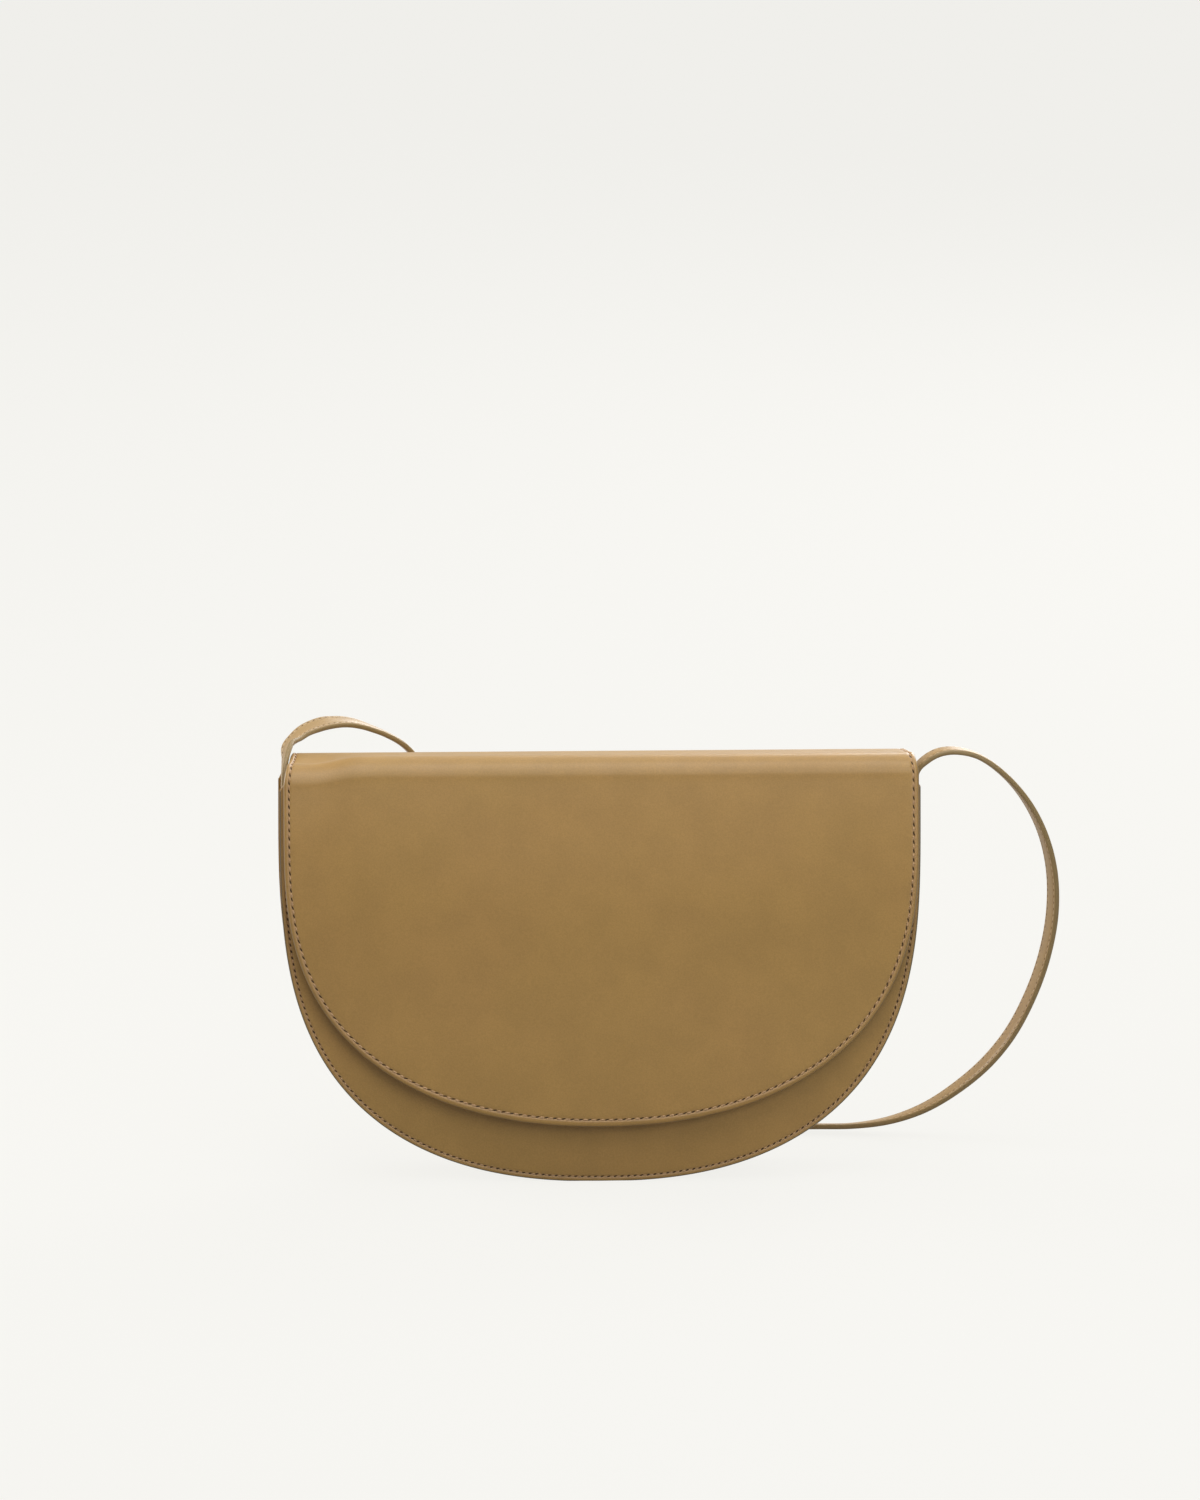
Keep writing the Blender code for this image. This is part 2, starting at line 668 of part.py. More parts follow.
def build_stud(flap_lining, flap_board, brass):
    """Magnet stud riveted through the flap's lining to its washer."""
    place = frame_at(flap_y, FLAP_BUILD, 1)
    seat = -FLAP_LINING_WALL - GAP
    end = seat - STUD_WASHER_WALL
    top = GAP + STUD_THICKNESS
    stud = turned("magnet_stud", (
        (0, end),
        (STUD_SHANK_RADIUS, end),
        (STUD_SHANK_RADIUS, GAP),
        (STUD_RADIUS, GAP),
        (STUD_RADIUS, top),
        (STUD_PIN_RADIUS, top),
        (STUD_PIN_RADIUS, top + STUD_PIN_LENGTH),
        (0, top + STUD_PIN_LENGTH),
    ), brass)
    hole = STUD_SHANK_RADIUS + SHANK_CLEARANCE
    washer = turned("magnet_stud_washer", (
        (hole, end),
        (STUD_WASHER_RADIUS, end),
        (STUD_WASHER_RADIUS, seat),
        (hole, seat),
    ), brass)
    stud.matrix_world = place
    washer.matrix_world = place
    cut_round(flap_lining, hole, place)
    cut_round(flap_board, STUD_WASHER_RADIUS + GAP + GAP, place)
    return stud, washer


def smooth_route(route):
    """Run a rounded curve through a route's points, each with its roll."""
    points = np.array(route, dtype=float)
    chords = np.linalg.norm(np.diff(points[:, :3], axis=0), axis=1)
    slopes = np.diff(points, axis=0) / chords[:, None]
    weights = (chords[1:] / (chords[1:] + chords[:-1]))[:, None]
    middle = slopes[:-1] * weights + slopes[1:] * (1 - weights)
    tangents = np.vstack((slopes[:1], middle, slopes[-1:]))
    curve = [points[0]]
    for i, chord in enumerate(chords):
        for share in np.linspace(0, 1, CURVE_STEPS + 1)[1:]:
            near = (1 + 2 * share) * (1 - share) ** 2
            far = share ** 2 * (3 - 2 * share)
            leave = share * (1 - share) ** 2 * chord
            arrive = share ** 2 * (share - 1) * chord
            point = near * points[i] + far * points[i + 1]
            curve.append(point + leave * tangents[i] + arrive * tangents[i + 1])
    return curve


def strap_section():
    """Half of the strap's section as (across, out) corners, for one side each."""
    half = STRAP_WIDTH / 2
    thick = STRAP_THICKNESS / 2
    corner = STRAP_CORNER
    return (
        (half - corner, -thick), (half, corner - thick), (half, thick - corner),
        (half - corner, thick), (corner - half, thick), (-half, thick - corner),
        (-half, corner - thick), (corner - half, -thick),
    )


def build_strap(leather):
    """The flat strap along its whole route."""
    route = [(x * MM, y * MM, z * MM, roll * DEGREE) for x, y, z, roll in STRAP_ROUTE]
    curve = smooth_route(route)
    length = sum(math.dist(a[:3], b[:3]) for a, b in zip(curve, curve[1:]))
    line = even_steps(curve, round(length / STRAP_STEP) + 1, 3)
    places = line[:, :3]
    heading = np.gradient(places, axis=0)
    rings = []
    for place, ahead, roll in zip(places, heading, line[:, 3]):
        ahead = Vector(ahead).normalized()
        across = (Vector((0, 1, 0)) - ahead * ahead.y).normalized()
        out = ahead.cross(across)
        wide = across * math.cos(roll) + out * math.sin(roll)
        thick = out * math.cos(roll) - across * math.sin(roll)
        rings.append([Vector(place) + wide * a + thick * b for a, b in strap_section()])
    loft("strap", rings, leather)
    print("strap length", round(length / MM), "mm")


def hang(pieces, pivot):
    """Parent pieces to a pivot and keep where they are."""
    for piece in pieces:
        piece.parent = pivot
        piece.matrix_parent_inverse = pivot.matrix_world.inverted()


def add_pivot(name, place):
    """An empty on a fold line, which the pieces beyond the fold hang from."""
    pivot = bpy.data.objects.new(name, None)
    bpy.context.scene.collection.objects.link(pivot)
    pivot.location = place
    bpy.context.view_layer.update()
    return pivot


def build_bag():
    """Build every piece of the bag."""
    clear_scene()
    leather = finish("khaki_leather", KHAKI, 0.45)
    edge_leather = finish("khaki_edge_leather", KHAKI_EDGE, 0.55)
    cloth = finish("sand_lining", SAND, 0.8)
    board = finish("grey_board", BOARD_GREY, 0.9)
    brass = finish("pale_brass", PALE_BRASS, 0.3, 1.0)

    front = build_panels(leather)
    front_board = build_boards(board)
    build_linings(cloth, edge_leather)
    build_pocket(cloth, edge_leather)
    build_gusset(leather, cloth)
    build_backers(board)
    build_tab(leather)
    bridge, bridge_lining = build_bridge(leather, cloth)
    flap, flap_lining, flap_board = build_flap(leather, cloth, board)
    build_socket(front, front_board, brass)
    stud, stud_washer = build_stud(flap_lining, flap_board, brass)
    build_strap(leather)

    lift = add_pivot("flap_lift_pivot", LIFT_AXIS)
    unfold = add_pivot("flap_unfold_pivot", UNFOLD_AXIS)
    hang((bridge, bridge_lining, unfold), lift)
    bpy.context.view_layer.update()
    hang((flap, flap_board, flap_lining, stud, stud_washer), unfold)
    print("lift axis", *(round(value / MM, 3) for value in LIFT_AXIS))
    print("unfold axis", *(round(value / MM, 3) for value in UNFOLD_AXIS))


build_bag()
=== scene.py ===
import math

import bpy
import numpy as np
from mathutils import Matrix, Vector


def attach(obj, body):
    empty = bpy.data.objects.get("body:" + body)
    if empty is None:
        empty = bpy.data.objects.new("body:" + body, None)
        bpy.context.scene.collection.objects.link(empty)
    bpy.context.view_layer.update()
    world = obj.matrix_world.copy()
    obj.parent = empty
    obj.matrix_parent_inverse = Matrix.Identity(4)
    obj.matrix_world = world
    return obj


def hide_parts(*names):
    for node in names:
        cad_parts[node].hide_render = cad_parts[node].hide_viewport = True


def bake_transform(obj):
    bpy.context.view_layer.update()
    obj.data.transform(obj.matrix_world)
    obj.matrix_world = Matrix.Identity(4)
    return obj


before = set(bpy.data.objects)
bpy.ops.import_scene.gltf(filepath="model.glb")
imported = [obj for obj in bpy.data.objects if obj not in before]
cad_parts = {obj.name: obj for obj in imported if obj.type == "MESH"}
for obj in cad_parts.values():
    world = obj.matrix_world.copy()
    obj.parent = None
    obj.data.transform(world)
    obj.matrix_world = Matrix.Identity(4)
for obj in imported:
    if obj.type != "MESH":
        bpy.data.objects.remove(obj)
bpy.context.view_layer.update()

MM = 0.001
TINY = 1e-6

# Body outline and depth, as in the part's source
BODY_WIDTH = 280 * MM
MOUTH_HEIGHT = 179 * MM
SHOULDER_HEIGHT = 157 * MM
BASE_CUT = 0.3 * MM
BODY_SIDE_POWER = 2.34
BODY_BASE_POWER = 2.98
BASE_DEPTH = 46 * MM
MOUTH_DEPTH = 29 * MM
BODY_SHIFT = 4.1 * MM
FRONT_CROWN = 4 * MM
BACK_CROWN = 3 * MM

# The body's two top corners, rounded off
CORNER_SIZE = 8 * MM
CORNER_LOW = 160 * MM
CORNER_LIMIT = 0.96

# Walls of the cut pieces, and how deep each layer lies behind the panel's face
GAP = 0.3 * MM
PANEL_WALL = 1.4 * MM
LINING_WALL = 0.6 * MM
FACING_WALL = 1.2 * MM
LINING_DEPTH = 2.9 * MM
INNER_INSET = 5.5 * MM
FACING_LOW = 149 * MM
FACING_SEAM_RISE = 2 * MM
SLACK_HEIGHTS = (118 * MM, 140 * MM)
GUSSET_WALL = 1.2 * MM
GUSSET_STEPS = 220
FLANGE_WIDTH = 4 * MM
FLANGE_BEND = 0.8 * MM
GUSSET_PULL = 0.5 * MM
GUSSET_WAVE = 0.35 * MM
GUSSET_LINING_INSET = 6.6 * MM
GUSSET_LINING_STEPS = 180
GUSSET_LINING_CLEAR = 4.4 * MM

# Slip pocket
POCKET_WIDTH = 150 * MM
POCKET_LOW = 62 * MM
POCKET_HIGH = 140 * MM
POCKET_DEPTH = 3.8 * MM
POCKET_GAPE = 0.9 * MM
POCKET_TRIM_DEPTH = 4.7 * MM
POCKET_TRIM_HEIGHT = 10 * MM
POCKET_TRIM_WALL = 1 * MM
POCKET_SEAM_INSET = 2 * MM

# Flap
FLAP_WIDTH = 277.6 * MM
FLAP_SHIFT = 0.3 * MM
FLAP_TIP_HEIGHT = 26 * MM
FLAP_SIDE_POWER = 2.17
FLAP_BASE_POWER = 2.8
FLAP_WALL = 1.4 * MM
FLAP_BUILD = 3.4 * MM
FLAP_BOARD_DEPTH = 1.7 * MM
FLAP_BOARD_WALL = 0.6 * MM
FLAP_BOARD_INSET = 9 * MM
FLAP_BOARD_DROP = 8 * MM
FLAP_LINING_DEPTH = 2.6 * MM
FLAP_LINING_WALL = 0.8 * MM
FLAP_LINING_INSET = 1.6 * MM
FLAP_LINING_RISE = 0.9 * MM
BRIDGE_LINING_DEPTH = 1.7 * MM
BRIDGE_LINING_SHORT = 2.4 * MM
FLAP_MOUTH_STANDOFF = 0.5 * MM
FLAP_TIP_STANDOFF = 4.5 * MM
STANDOFF_POWER = 1.5
FOLD_RADIUS = 9 * MM
CREST_WIDTH = 274.4 * MM
REAR_WIDTH = 268.6 * MM
REAR_TAPER = 0.8
REAR_RISE = 5.2 * MM
REAR_BEND = 2 * MM
TAB_LENGTH = 19 * MM
TAB_SEAM_HEIGHT = 8 * MM
TAB_SEAM_END = 2 * MM
REAR_CROWN_DEPTHS = (15 * MM, 20 * MM)

# How the flap's seam moves away from the edge towards its tip, as shares
TIP_WIDEN = 0.42
TIP_SHARES = (0.05, 0.62)

# How the soft flap settles: its fold sinks at the left end, its front is puffed and dented.
# Widths, depths and heights are the stretches over which each move comes in or goes out.
# Each dent is (x, z, half width, half height, depth).
SAG = 3.2 * MM
SAG_WIDTHS = (-104 * MM, -126 * MM)
SAG_DEPTHS = (-3 * MM, 18 * MM)
SAG_HEIGHTS = (150 * MM, 184 * MM)
FRONT_DEPTHS = (-6 * MM, 0)
PUFF = 3 * MM
PUFF_HEIGHT = 134 * MM
PUFF_FADE = 40 * MM
HANG_WAVE = 0.6 * MM
HANG_HEIGHTS = (150 * MM, 180 * MM)
DENTS = (
    (118 * MM, 122 * MM, 18 * MM, 30 * MM, 0.5 * MM),
    (-122 * MM, 140 * MM, 16 * MM, 24 * MM, 0.4 * MM),
)

# Strap, and one corner of its section in millimetres, with the groove of its seam
STRAP_WIDTH = 10 * MM
STRAP_THICKNESS = 2.6 * MM
STRAP_STEP = 1.6 * MM
STRAP_SEAM_ASIDE = 3.4 * MM
STRAP_CORNER = (
    (4.98, 0.3), (4.86, 0.72), (4.55, 1.05), (4.1, 1.17), (3.7, 1.1), (3.4, 1.02),
    (3.1, 1.1), (2.6, 1.22), (1.3, 1.29),
)

# The strap's route in metres, with its roll in degrees. It follows the part's source, but its
# left arch lies a little lower and flatter, over the settled corner of the flap.
STRAP_ROUTE = (
    (-0.1376, 0.0064, 0.15, 0), (-0.1376, 0.0064, 0.158, 0), (-0.1376, 0.0064, 0.166, 0),
    (-0.1378, 0.007, 0.1726, 0), (-0.1376, 0.009, 0.178, -1), (-0.1369, 0.012, 0.1822, -1),
    (-0.1361, 0.016, 0.1849, 1.8), (-0.1353, 0.0205, 0.1869, 1.5), (-0.132, 0.027, 0.1892, 8.2),
    (-0.1278, 0.0325, 0.1913, 13.3), (-0.1231, 0.0368, 0.1925, 15),
    (-0.1188, 0.0399, 0.1931, 13.9), (-0.1137, 0.043, 0.193, 7.5), (-0.1083, 0.046, 0.1922, 3.1),
    (-0.1034, 0.0486, 0.1906, -2), (-0.0984, 0.0511, 0.1883, -6.5),
    (-0.0933, 0.0534, 0.1857, -9), (-0.0837, 0.0574, 0.1792, -10), (-0.075, 0.0606, 0.1675, -8),
    (-0.06, 0.0665, 0.141, -2), (-0.044, 0.0715, 0.109, 0), (-0.023, 0.077, 0.069, 0),
    (-0.001, 0.08, 0.033, -2), (0.018, 0.0803, 0.0123, -4), (0.036, 0.0788, 0.0044, -7),
    (0.056, 0.0767, 0.0026, -10), (0.076, 0.075, 0.0024, -11), (0.0988, 0.073, 0.0028, -11),
    (0.114, 0.0714, 0.0033, -10), (0.1296, 0.0686, 0.0062, -4), (0.1441, 0.0645, 0.0122, 3),
    (0.1608, 0.059, 0.024, 10), (0.1726, 0.054, 0.0357, 14), (0.181, 0.049, 0.0474, 15.5),
    (0.1906, 0.0418, 0.0675, 17), (0.1968, 0.0356, 0.0877, 18.5), (0.2, 0.029, 0.1118, 20),
    (0.1989, 0.0242, 0.1303, 18), (0.1944, 0.0198, 0.1473, 15), (0.1886, 0.0166, 0.1594, 13),
    (0.1823, 0.0139, 0.1685, 10.5), (0.1766, 0.0119, 0.1747, 9.5), (0.1706, 0.0102, 0.1798, 9),
    (0.1646, 0.0089, 0.1834, 7), (0.1587, 0.0081, 0.1852, 4), (0.153, 0.0077, 0.1856, 1.5),
    (0.1478, 0.0076, 0.1845, -1.5), (0.1437, 0.0076, 0.1822, -3), (0.1395, 0.0076, 0.1782, -2),
    (0.1381, 0.0076, 0.1725, 0), (0.1377, 0.0076, 0.166, 0), (0.1376, 0.0076, 0.159, 0),
    (0.1376, 0.0076, 0.15, 0),
)

# Camera: a long lens that looks slightly down and a little from the left
PIXEL = 0.4368 * MM
CAMERA_TILT = math.radians(12)
CAMERA_TURN = math.radians(-2)
CAMERA_DISTANCE = 12
CAMERA_ASIDE = 0.2184 * MM
CAMERA_HEIGHT = 188.67 * MM
IMAGE_HEIGHT = 1500
SENSOR = 36

# How finely outlines and grids are divided, and the angles in degrees up to which they are smooth
FINE_STEPS = 900
SIDE_ROWS = 76
BASE_COLUMNS = 120
LAYER_ROWS = 40
LAYER_COLUMNS = 70
FOLD_STEPS = 40
REAR_ROWS = 46
REAR_LINING_ROWS = 12
FACING_COLUMNS = 60
POCKET_COLUMNS = 44
SMOOTH_ANGLE = 50
STRAP_SMOOTH_ANGLE = 60

# Rings of points round a sewn edge as (inset, depth) in millimetres for a seam at 2.4 mm: the
# rolled edge of the flap and the cut edge of the panels, each on its face and on its back
SEAM_INSET = 2.4
ROLLED_FACE = (
    (0, 1.35), (0.12, 0.82), (0.42, 0.3), (0.85, -0.02), (1.35, -0.1), (1.85, 0), (2.15, 0.14),
    (2.4, 0.2), (2.65, 0.14), (3, 0.02), (3.8, -0.02), (5.5, 0), (8.5, 0),
)
ROLLED_BACK = (
    (0, 2), (0.12, 2.4), (0.4, 2.72), (0.8, 2.8), (1.2, 2.8), (1.3, 1.4), (2.15, 1.4),
    (2.4, 1.4), (2.65, 1.4), (3, 1.4), (3.8, 1.4), (5.5, 1.4), (8.5, 1.4),
)
CUT_FACE = (
    (0, 0.5), (0.1, 0.2), (0.32, 0.03), (0.8, -0.03), (1.4, -0.03), (1.85, 0.05), (2.15, 0.13),
    (2.4, 0.17), (2.65, 0.13), (3, 0.03), (3.8, -0.02), (5.5, 0), (8.5, 0),
)
CUT_BACK = (
    (0, 0.95), (0.1, 1.25), (0.3, 1.4), (0.8, 1.4), (1.4, 1.4), (1.85, 1.4), (2.15, 1.4),
    (2.4, 1.4), (2.65, 1.4), (3, 1.4), (3.8, 1.4), (5.5, 1.4), (8.5, 1.4),
)
ROLLED_THIN = tuple(
    (inset, min(depth, 1.0) if inset < 0.5 else depth) for inset, depth in ROLLED_FACE)
THIN_BACK = tuple((inset, {0: 1.2, 0.12: 1.32}.get(inset, 1.4)) for inset, depth in ROLLED_BACK)

# The panels' rings lie a little closer together. Points inside the rings count as this much
# further in, and the back of a piece is marked as lying this many millimetres off the seam.
PANEL_SEAM_SHARE = 0.94
INSIDE_RINGS = 4 * MM
NO_SEAM = 9

# Seams: distance between stitches, half the reach of a stitch, the size of its thread, its slant,
# how deep or high it lies, and how many stitches a straight seam has on each side of its middle
FLAP_PITCH = 3.85 * MM
PANEL_PITCH = 2.9 * MM
STRAP_PITCH = 3.1 * MM
POCKET_PITCH = 2.6 * MM
FLAP_REACH = 1.1 * MM
PANEL_REACH = 0.8 * MM
STRAP_REACH = 0.9 * MM
POCKET_REACH = 0.7 * MM
FLAP_STITCH = (2.1 * MM, 0.8 * MM, 0.55 * MM)
PANEL_STITCH = (1.5 * MM, 0.6 * MM, 0.42 * MM)
STRAP_STITCH = (2 * MM, 0.4 * MM, 0.34 * MM)
CLOTH_STITCH = (1.8 * MM, 0.45 * MM, 0.3 * MM)
FLAP_SLANT = 0.16
PANEL_SLANT = 0.14
FACING_SLANT = 0.1
FLAP_THREAD_DEPTH = 0.06 * MM
FLAP_UNDER_DEPTH = 3.4 * MM
PANEL_THREAD_DEPTH = 0.05 * MM
STRAP_THREAD_HEIGHT = 1.03 * MM
TAB_STITCHES = 33
FACING_STITCHES = 42

# Colours
KHAKI = (0.37, 0.216, 0.062, 1)
KHAKI_WARM = (0.39, 0.214, 0.072, 1)
STRAP_KHAKI = (0.38, 0.24, 0.095, 1)
KHAKI_DEEP = (0.19, 0.115, 0.045, 1)
KHAKI_OLIVE = (0.28, 0.19, 0.08, 1)
FLAP_RIM = (0.28, 0.17, 0.06, 1)
# Painted shade: the dark brown laid into the needle holes, which are only a shallow bump in the
# surface
PAINTED_HOLE_SHADE = (0.05, 0.022, 0.006, 1)
THREAD_TAN = (0.46, 0.28, 0.14, 1)
THREAD_PALE = (0.56, 0.44, 0.28, 1)
EDGE_PAINT = (0.16, 0.12, 0.07, 1)
SAND = (0.46, 0.36, 0.235, 1)
BOARD_GREY = (0.36, 0.31, 0.24, 1)
BRASS = (0.72, 0.55, 0.29, 1)

# The woven cloth's waves per metre, as an angle in radians
CLOTH_THREADS = 5200.0

# Stage: the colours of sky and floor as the camera sees them, and the darker floor for the bag
PALE_SKY = (0.913, 0.905, 0.871, 1)
PALE_FLOOR = (0.87, 0.86, 0.83, 1)
FLOOR_BOUNCE = (0.32, 0.3, 0.27, 1)
FLOOR_SIZE = 40
FLOOR_DROP = -0.05 * MM

# How far the floor glows by itself for the camera and in mirrored light, the sky's strength as a
# light, and what is added to it for the camera and in mirrored light
FLOOR_SEEN = 0.94
FLOOR_MIRRORED = 0.5
SKY_LIGHT = 0.2
SKY_SEEN = 0.8
SKY_MIRRORED = 0.4

# Lamps as (name, place, aim, size, power, tint)
WHITE = (1, 1, 1)
COOL = (0.75, 0.9, 1)
LAMPS = (
    ("key_lamp", (-0.1, -0.5, 1.05), (0, 0, 0.1), (0.9, 0.9), 6.9, WHITE),
    ("front_lamp", (0.35, -2.1, 1.15), (0, 0, 0.12), (1.6, 0.8), 9.5, WHITE),
    ("side_lamp", (0.6, -0.7, 0.36), (0.05, 0, 0.12), (0.35, 0.5), 1.1, COOL),
    ("top_lamp", (0.3, 0.2, 1.35), (0.15, 0.1, 0.15), (1.4, 1.3), 7, WHITE),
    ("back_lamp", (0.85, 1.5, 0.95), (0, 0, 0.15), (1.4, 1.1), 28, WHITE),
    ("low_lamp", (-1.0, 0.4, 0.45), (0.2, 0.05, 0.06), (0.5, 0.5), 7, WHITE),
)


# Surfaces of the body and of the flap


def half_depth(z):
    """Half the body's depth at its sewn edge."""
    return (BASE_DEPTH + (MOUTH_DEPTH - BASE_DEPTH) * z / MOUTH_HEIGHT) / 2


def swell(x, z):
    """Share of a panel's crown at a place: none at its edges, most low in the middle."""
    curve_share = np.clip((SHOULDER_HEIGHT - z) / (SHOULDER_HEIGHT + BASE_CUT), 0, 1)
    width_share = (1 - curve_share ** BODY_BASE_POWER) ** (1 / BODY_SIDE_POWER)
    reach = np.maximum(width_share * BODY_WIDTH / 2, TINY)
    across_share = 1 - np.minimum(1, np.abs(x) / reach) ** 2
    up_share = np.clip(z / MOUTH_HEIGHT, 0, 1)
    return across_share * 27 / 4 * up_share * (1 - up_share) ** 2


def front_y(x, z, depth=0):
    """How far back the body's front lies, a depth behind its outer face."""
    return BODY_SHIFT - half_depth(z) - FRONT_CROWN * swell(x, z) + depth


def back_y(x, z, depth=0):
    """How far back the body's back lies, a depth inside its outer face."""
    return BODY_SHIFT + half_depth(z) + BACK_CROWN * swell(x, z) - depth


def flap_y(x, z, depth=0):
    """How far back the hanging flap lies, a depth behind its outer face."""
    fall = np.clip((MOUTH_HEIGHT - z) / (MOUTH_HEIGHT - FLAP_TIP_HEIGHT), 0, 1)
    standoff = FLAP_MOUTH_STANDOFF
    standoff = standoff + (FLAP_TIP_STANDOFF - FLAP_MOUTH_STANDOFF) * fall ** STANDOFF_POWER
    return front_y(x, z) - FLAP_BUILD - standoff + depth


def ease(value, low, high):
    """Smooth step from 0 at low to 1 at high."""
    share = np.clip((value - low) / (high - low), 0, 1)
    return share * share * (3 - 2 * share)


def round_corner(x, z):
    """Heights of the body's leather once its two top corners are rounded off."""
    side = np.clip((np.abs(x) - BODY_WIDTH / 2 + CORNER_SIZE) / CORNER_SIZE, 0, 1)
    drop = CORNER_SIZE * (1 - np.sqrt(1 - np.minimum(side, CORNER_LIMIT) ** 2))
    return z - drop * ease(z, CORNER_LOW, MOUTH_HEIGHT)


class Outline:
    """A half moon outline from its top left corner round its base to its top right corner."""

    def __init__(self, half_width, drop, side_power, base_power, top, shift=0, inset=0):
        angles = np.linspace(0, math.pi / 2, FINE_STEPS)
        across = half_width * np.sin(angles) ** (2 / side_power)
        height = SHOULDER_HEIGHT - drop * np.cos(angles) ** (2 / base_power)
        across = np.append(across, half_width)
        height = np.append(height, MOUTH_HEIGHT)
        run = np.gradient(across)
        rise = np.gradient(height)
        length = np.hypot(run, rise)
        across = across - inset * rise / length
        height = height + inset * run / length
        keep = height < top
        across = np.append(across[keep], np.interp(top, height, across))
        height = np.append(height[keep], top)
        across[0] = 0
        self.x = np.concatenate((-across[:0:-1], across)) + shift
        self.z = np.concatenate((height[:0:-1], height))
        steps = np.hypot(np.diff(self.x), np.diff(self.z))
        self.along = np.concatenate(([0], np.cumsum(steps)))
        self.length = self.along[-1]
        diagonal = np.full((2, 1), math.sqrt(0.5))
        lean = np.hypot(*np.array(self.inward(self.along)) - diagonal)
        self.corner_share = self.along[np.argmin(lean)] / self.length

    def at(self, run):
        """The place (x, z) at a length along the outline."""
        return np.interp(run, self.along, self.x), np.interp(run, self.along, self.z)

    def inward(self, run):
        """The direction (x, z) straight into the outline."""
        before = self.at(np.asarray(run) - MM)
        after = self.at(np.asarray(run) + MM)
        dx, dz = after[0] - before[0], after[1] - before[1]
        length = np.hypot(dx, dz)
        return -dz / length, dx / length

    def inside(self, run, inset):
        """The place (x, z) at a length along the outline, an inset away from it."""
        x, z = self.at(run)
        in_x, in_z = self.inward(run)
        return x + in_x * inset, z + in_z * inset


def body_outline(top=MOUTH_HEIGHT, inset=0):
    """The body's outline, moved inwards."""
    return Outline(
        BODY_WIDTH / 2, SHOULDER_HEIGHT + BASE_CUT, BODY_SIDE_POWER, BODY_BASE_POWER,
        top, 0, inset)


def flap_outline(inset=0, top=MOUTH_HEIGHT):
    """The outline of the flap's hanging part, moved inwards."""
    return Outline(
        FLAP_WIDTH / 2, SHOULDER_HEIGHT - FLAP_TIP_HEIGHT, FLAP_SIDE_POWER, FLAP_BASE_POWER,
        top, FLAP_SHIFT, inset)


BODY_EDGE = body_outline()
FLAP_EDGE = flap_outline()


def even(run):
    """Insets that stay the same all along an edge."""
    return np.ones_like(run)


def flap_widen(run):
    """The flap's seam lies further from the edge at its tip than at its sides."""
    side = np.abs(run / FLAP_EDGE.length - 0.5) * 2
    return 1 + TIP_WIDEN * (1 - ease(side, *TIP_SHARES))


# Grids of points


def profile_sizes(profile):
    """The insets and the depths of an edge's profile, in metres."""
    return np.array(profile).T * MM


def plain_profile(wall, edge=0.12):
    """Face and back profiles of a thin layer with softened edges, in millimetres."""
    face = ((0, wall * 0.3), (edge, 0.02), (1, 0), (2.4, 0), (4, 0))
    back = ((0, wall * 0.7), (edge, wall - 0.02), (1, wall), (2.4, wall), (4, wall))
    return face, back


def ring_numbers(rows, columns, row_end=False):
    """How many places each point of a grid lies in from its sides and its foot, or all round."""
    row, column = np.meshgrid(np.arange(rows + 1), np.arange(columns + 1), indexing="ij")
    ring = np.minimum(np.minimum(column, columns - column), row)
    return np.minimum(ring, rows - row) if row_end else ring


def ring_depths(depths, rows, columns):
    """The depth profile of the outer rings, spread over a whole grid."""
    return depths[np.minimum(ring_numbers(rows, columns), len(depths) - 1)]


def spread_across(half, insets, columns):
    """Places across each row: the edge's rings at both sides, the rest evenly between them.

    half holds half the width of every row, as one column.
    """
    last = len(insets) - 1
    middle = (half - insets[-1]) * np.linspace(-1, 1, columns + 1 - 2 * last)
    return np.hstack((insets[:-1] - half, middle, half - insets[-2::-1]))


def moon_places(outline, insets, widen, rows, columns):
    """Grid of (x, z, run, inset) whose outer lines follow an outline at the given insets.

    widen gives the share by which the insets grow at a run along the outline.
    """
    last = len(insets) - 1
    corner = outline.corner_share
    grid = np.zeros((rows + 1, columns + 1, 4))
    row, column = np.meshgrid(np.arange(rows + 1), np.arange(columns + 1), indexing="ij")
    ring = np.minimum(ring_numbers(rows, columns), last)
    side = (rows - row) / np.maximum(rows - ring, 1)
    base = (column - ring) / np.maximum(columns - 2 * ring, 1)
    share = corner + (1 - 2 * corner) * base
    share = np.where(column <= ring, corner * side, share)
    share = np.where(columns - column <= ring, 1 - corner * side, share)
    run = share * outline.length
    inset = insets[ring] * widen(run)
    grid[..., 0], grid[..., 1] = outline.inside(run, inset)
    grid[..., 2] = run
    grid[..., 3] = inset
    core = grid[last:, last:columns - last + 1]
    u = np.linspace(0, 1, core.shape[1])[None, :, None]
    v = np.linspace(0, 1, core.shape[0])[:, None, None]
    left, right, low = core[:, :1, :2], core[:, -1:, :2], core[:1, :, :2]
    high = left[-1:] * (1 - u) + right[-1:] * u
    blend = (1 - u) * left + u * right + (1 - v) * low + v * high
    blend = blend - (1 - u) * (1 - v) * left[:1] - u * (1 - v) * right[:1]
    blend = blend - (1 - u) * v * left[-1:] - u * v * right[-1:]
    core[1:, 1:-1, :2] = blend[1:, 1:-1]
    core[1:, 1:-1, 3] = insets[-1] + INSIDE_RINGS
    return grid


def moon_layer(outline, profile, surface, base_depth, slack=None):
    """One skin of a thin layer that fills an outline on a surface."""
    insets, depths = profile_sizes(profile)
    grid = moon_places(outline, insets, even, LAYER_ROWS, LAYER_COLUMNS)
    x, z = grid[..., 0], grid[..., 1]
    depth = ring_depths(depths, LAYER_ROWS, LAYER_COLUMNS) + base_depth
    if slack:
        depth = depth + slack(x, z) * ease(grid[..., 3], 1 * MM, 8 * MM)
    return np.stack((x, surface(x, z, depth), z), axis=-1)


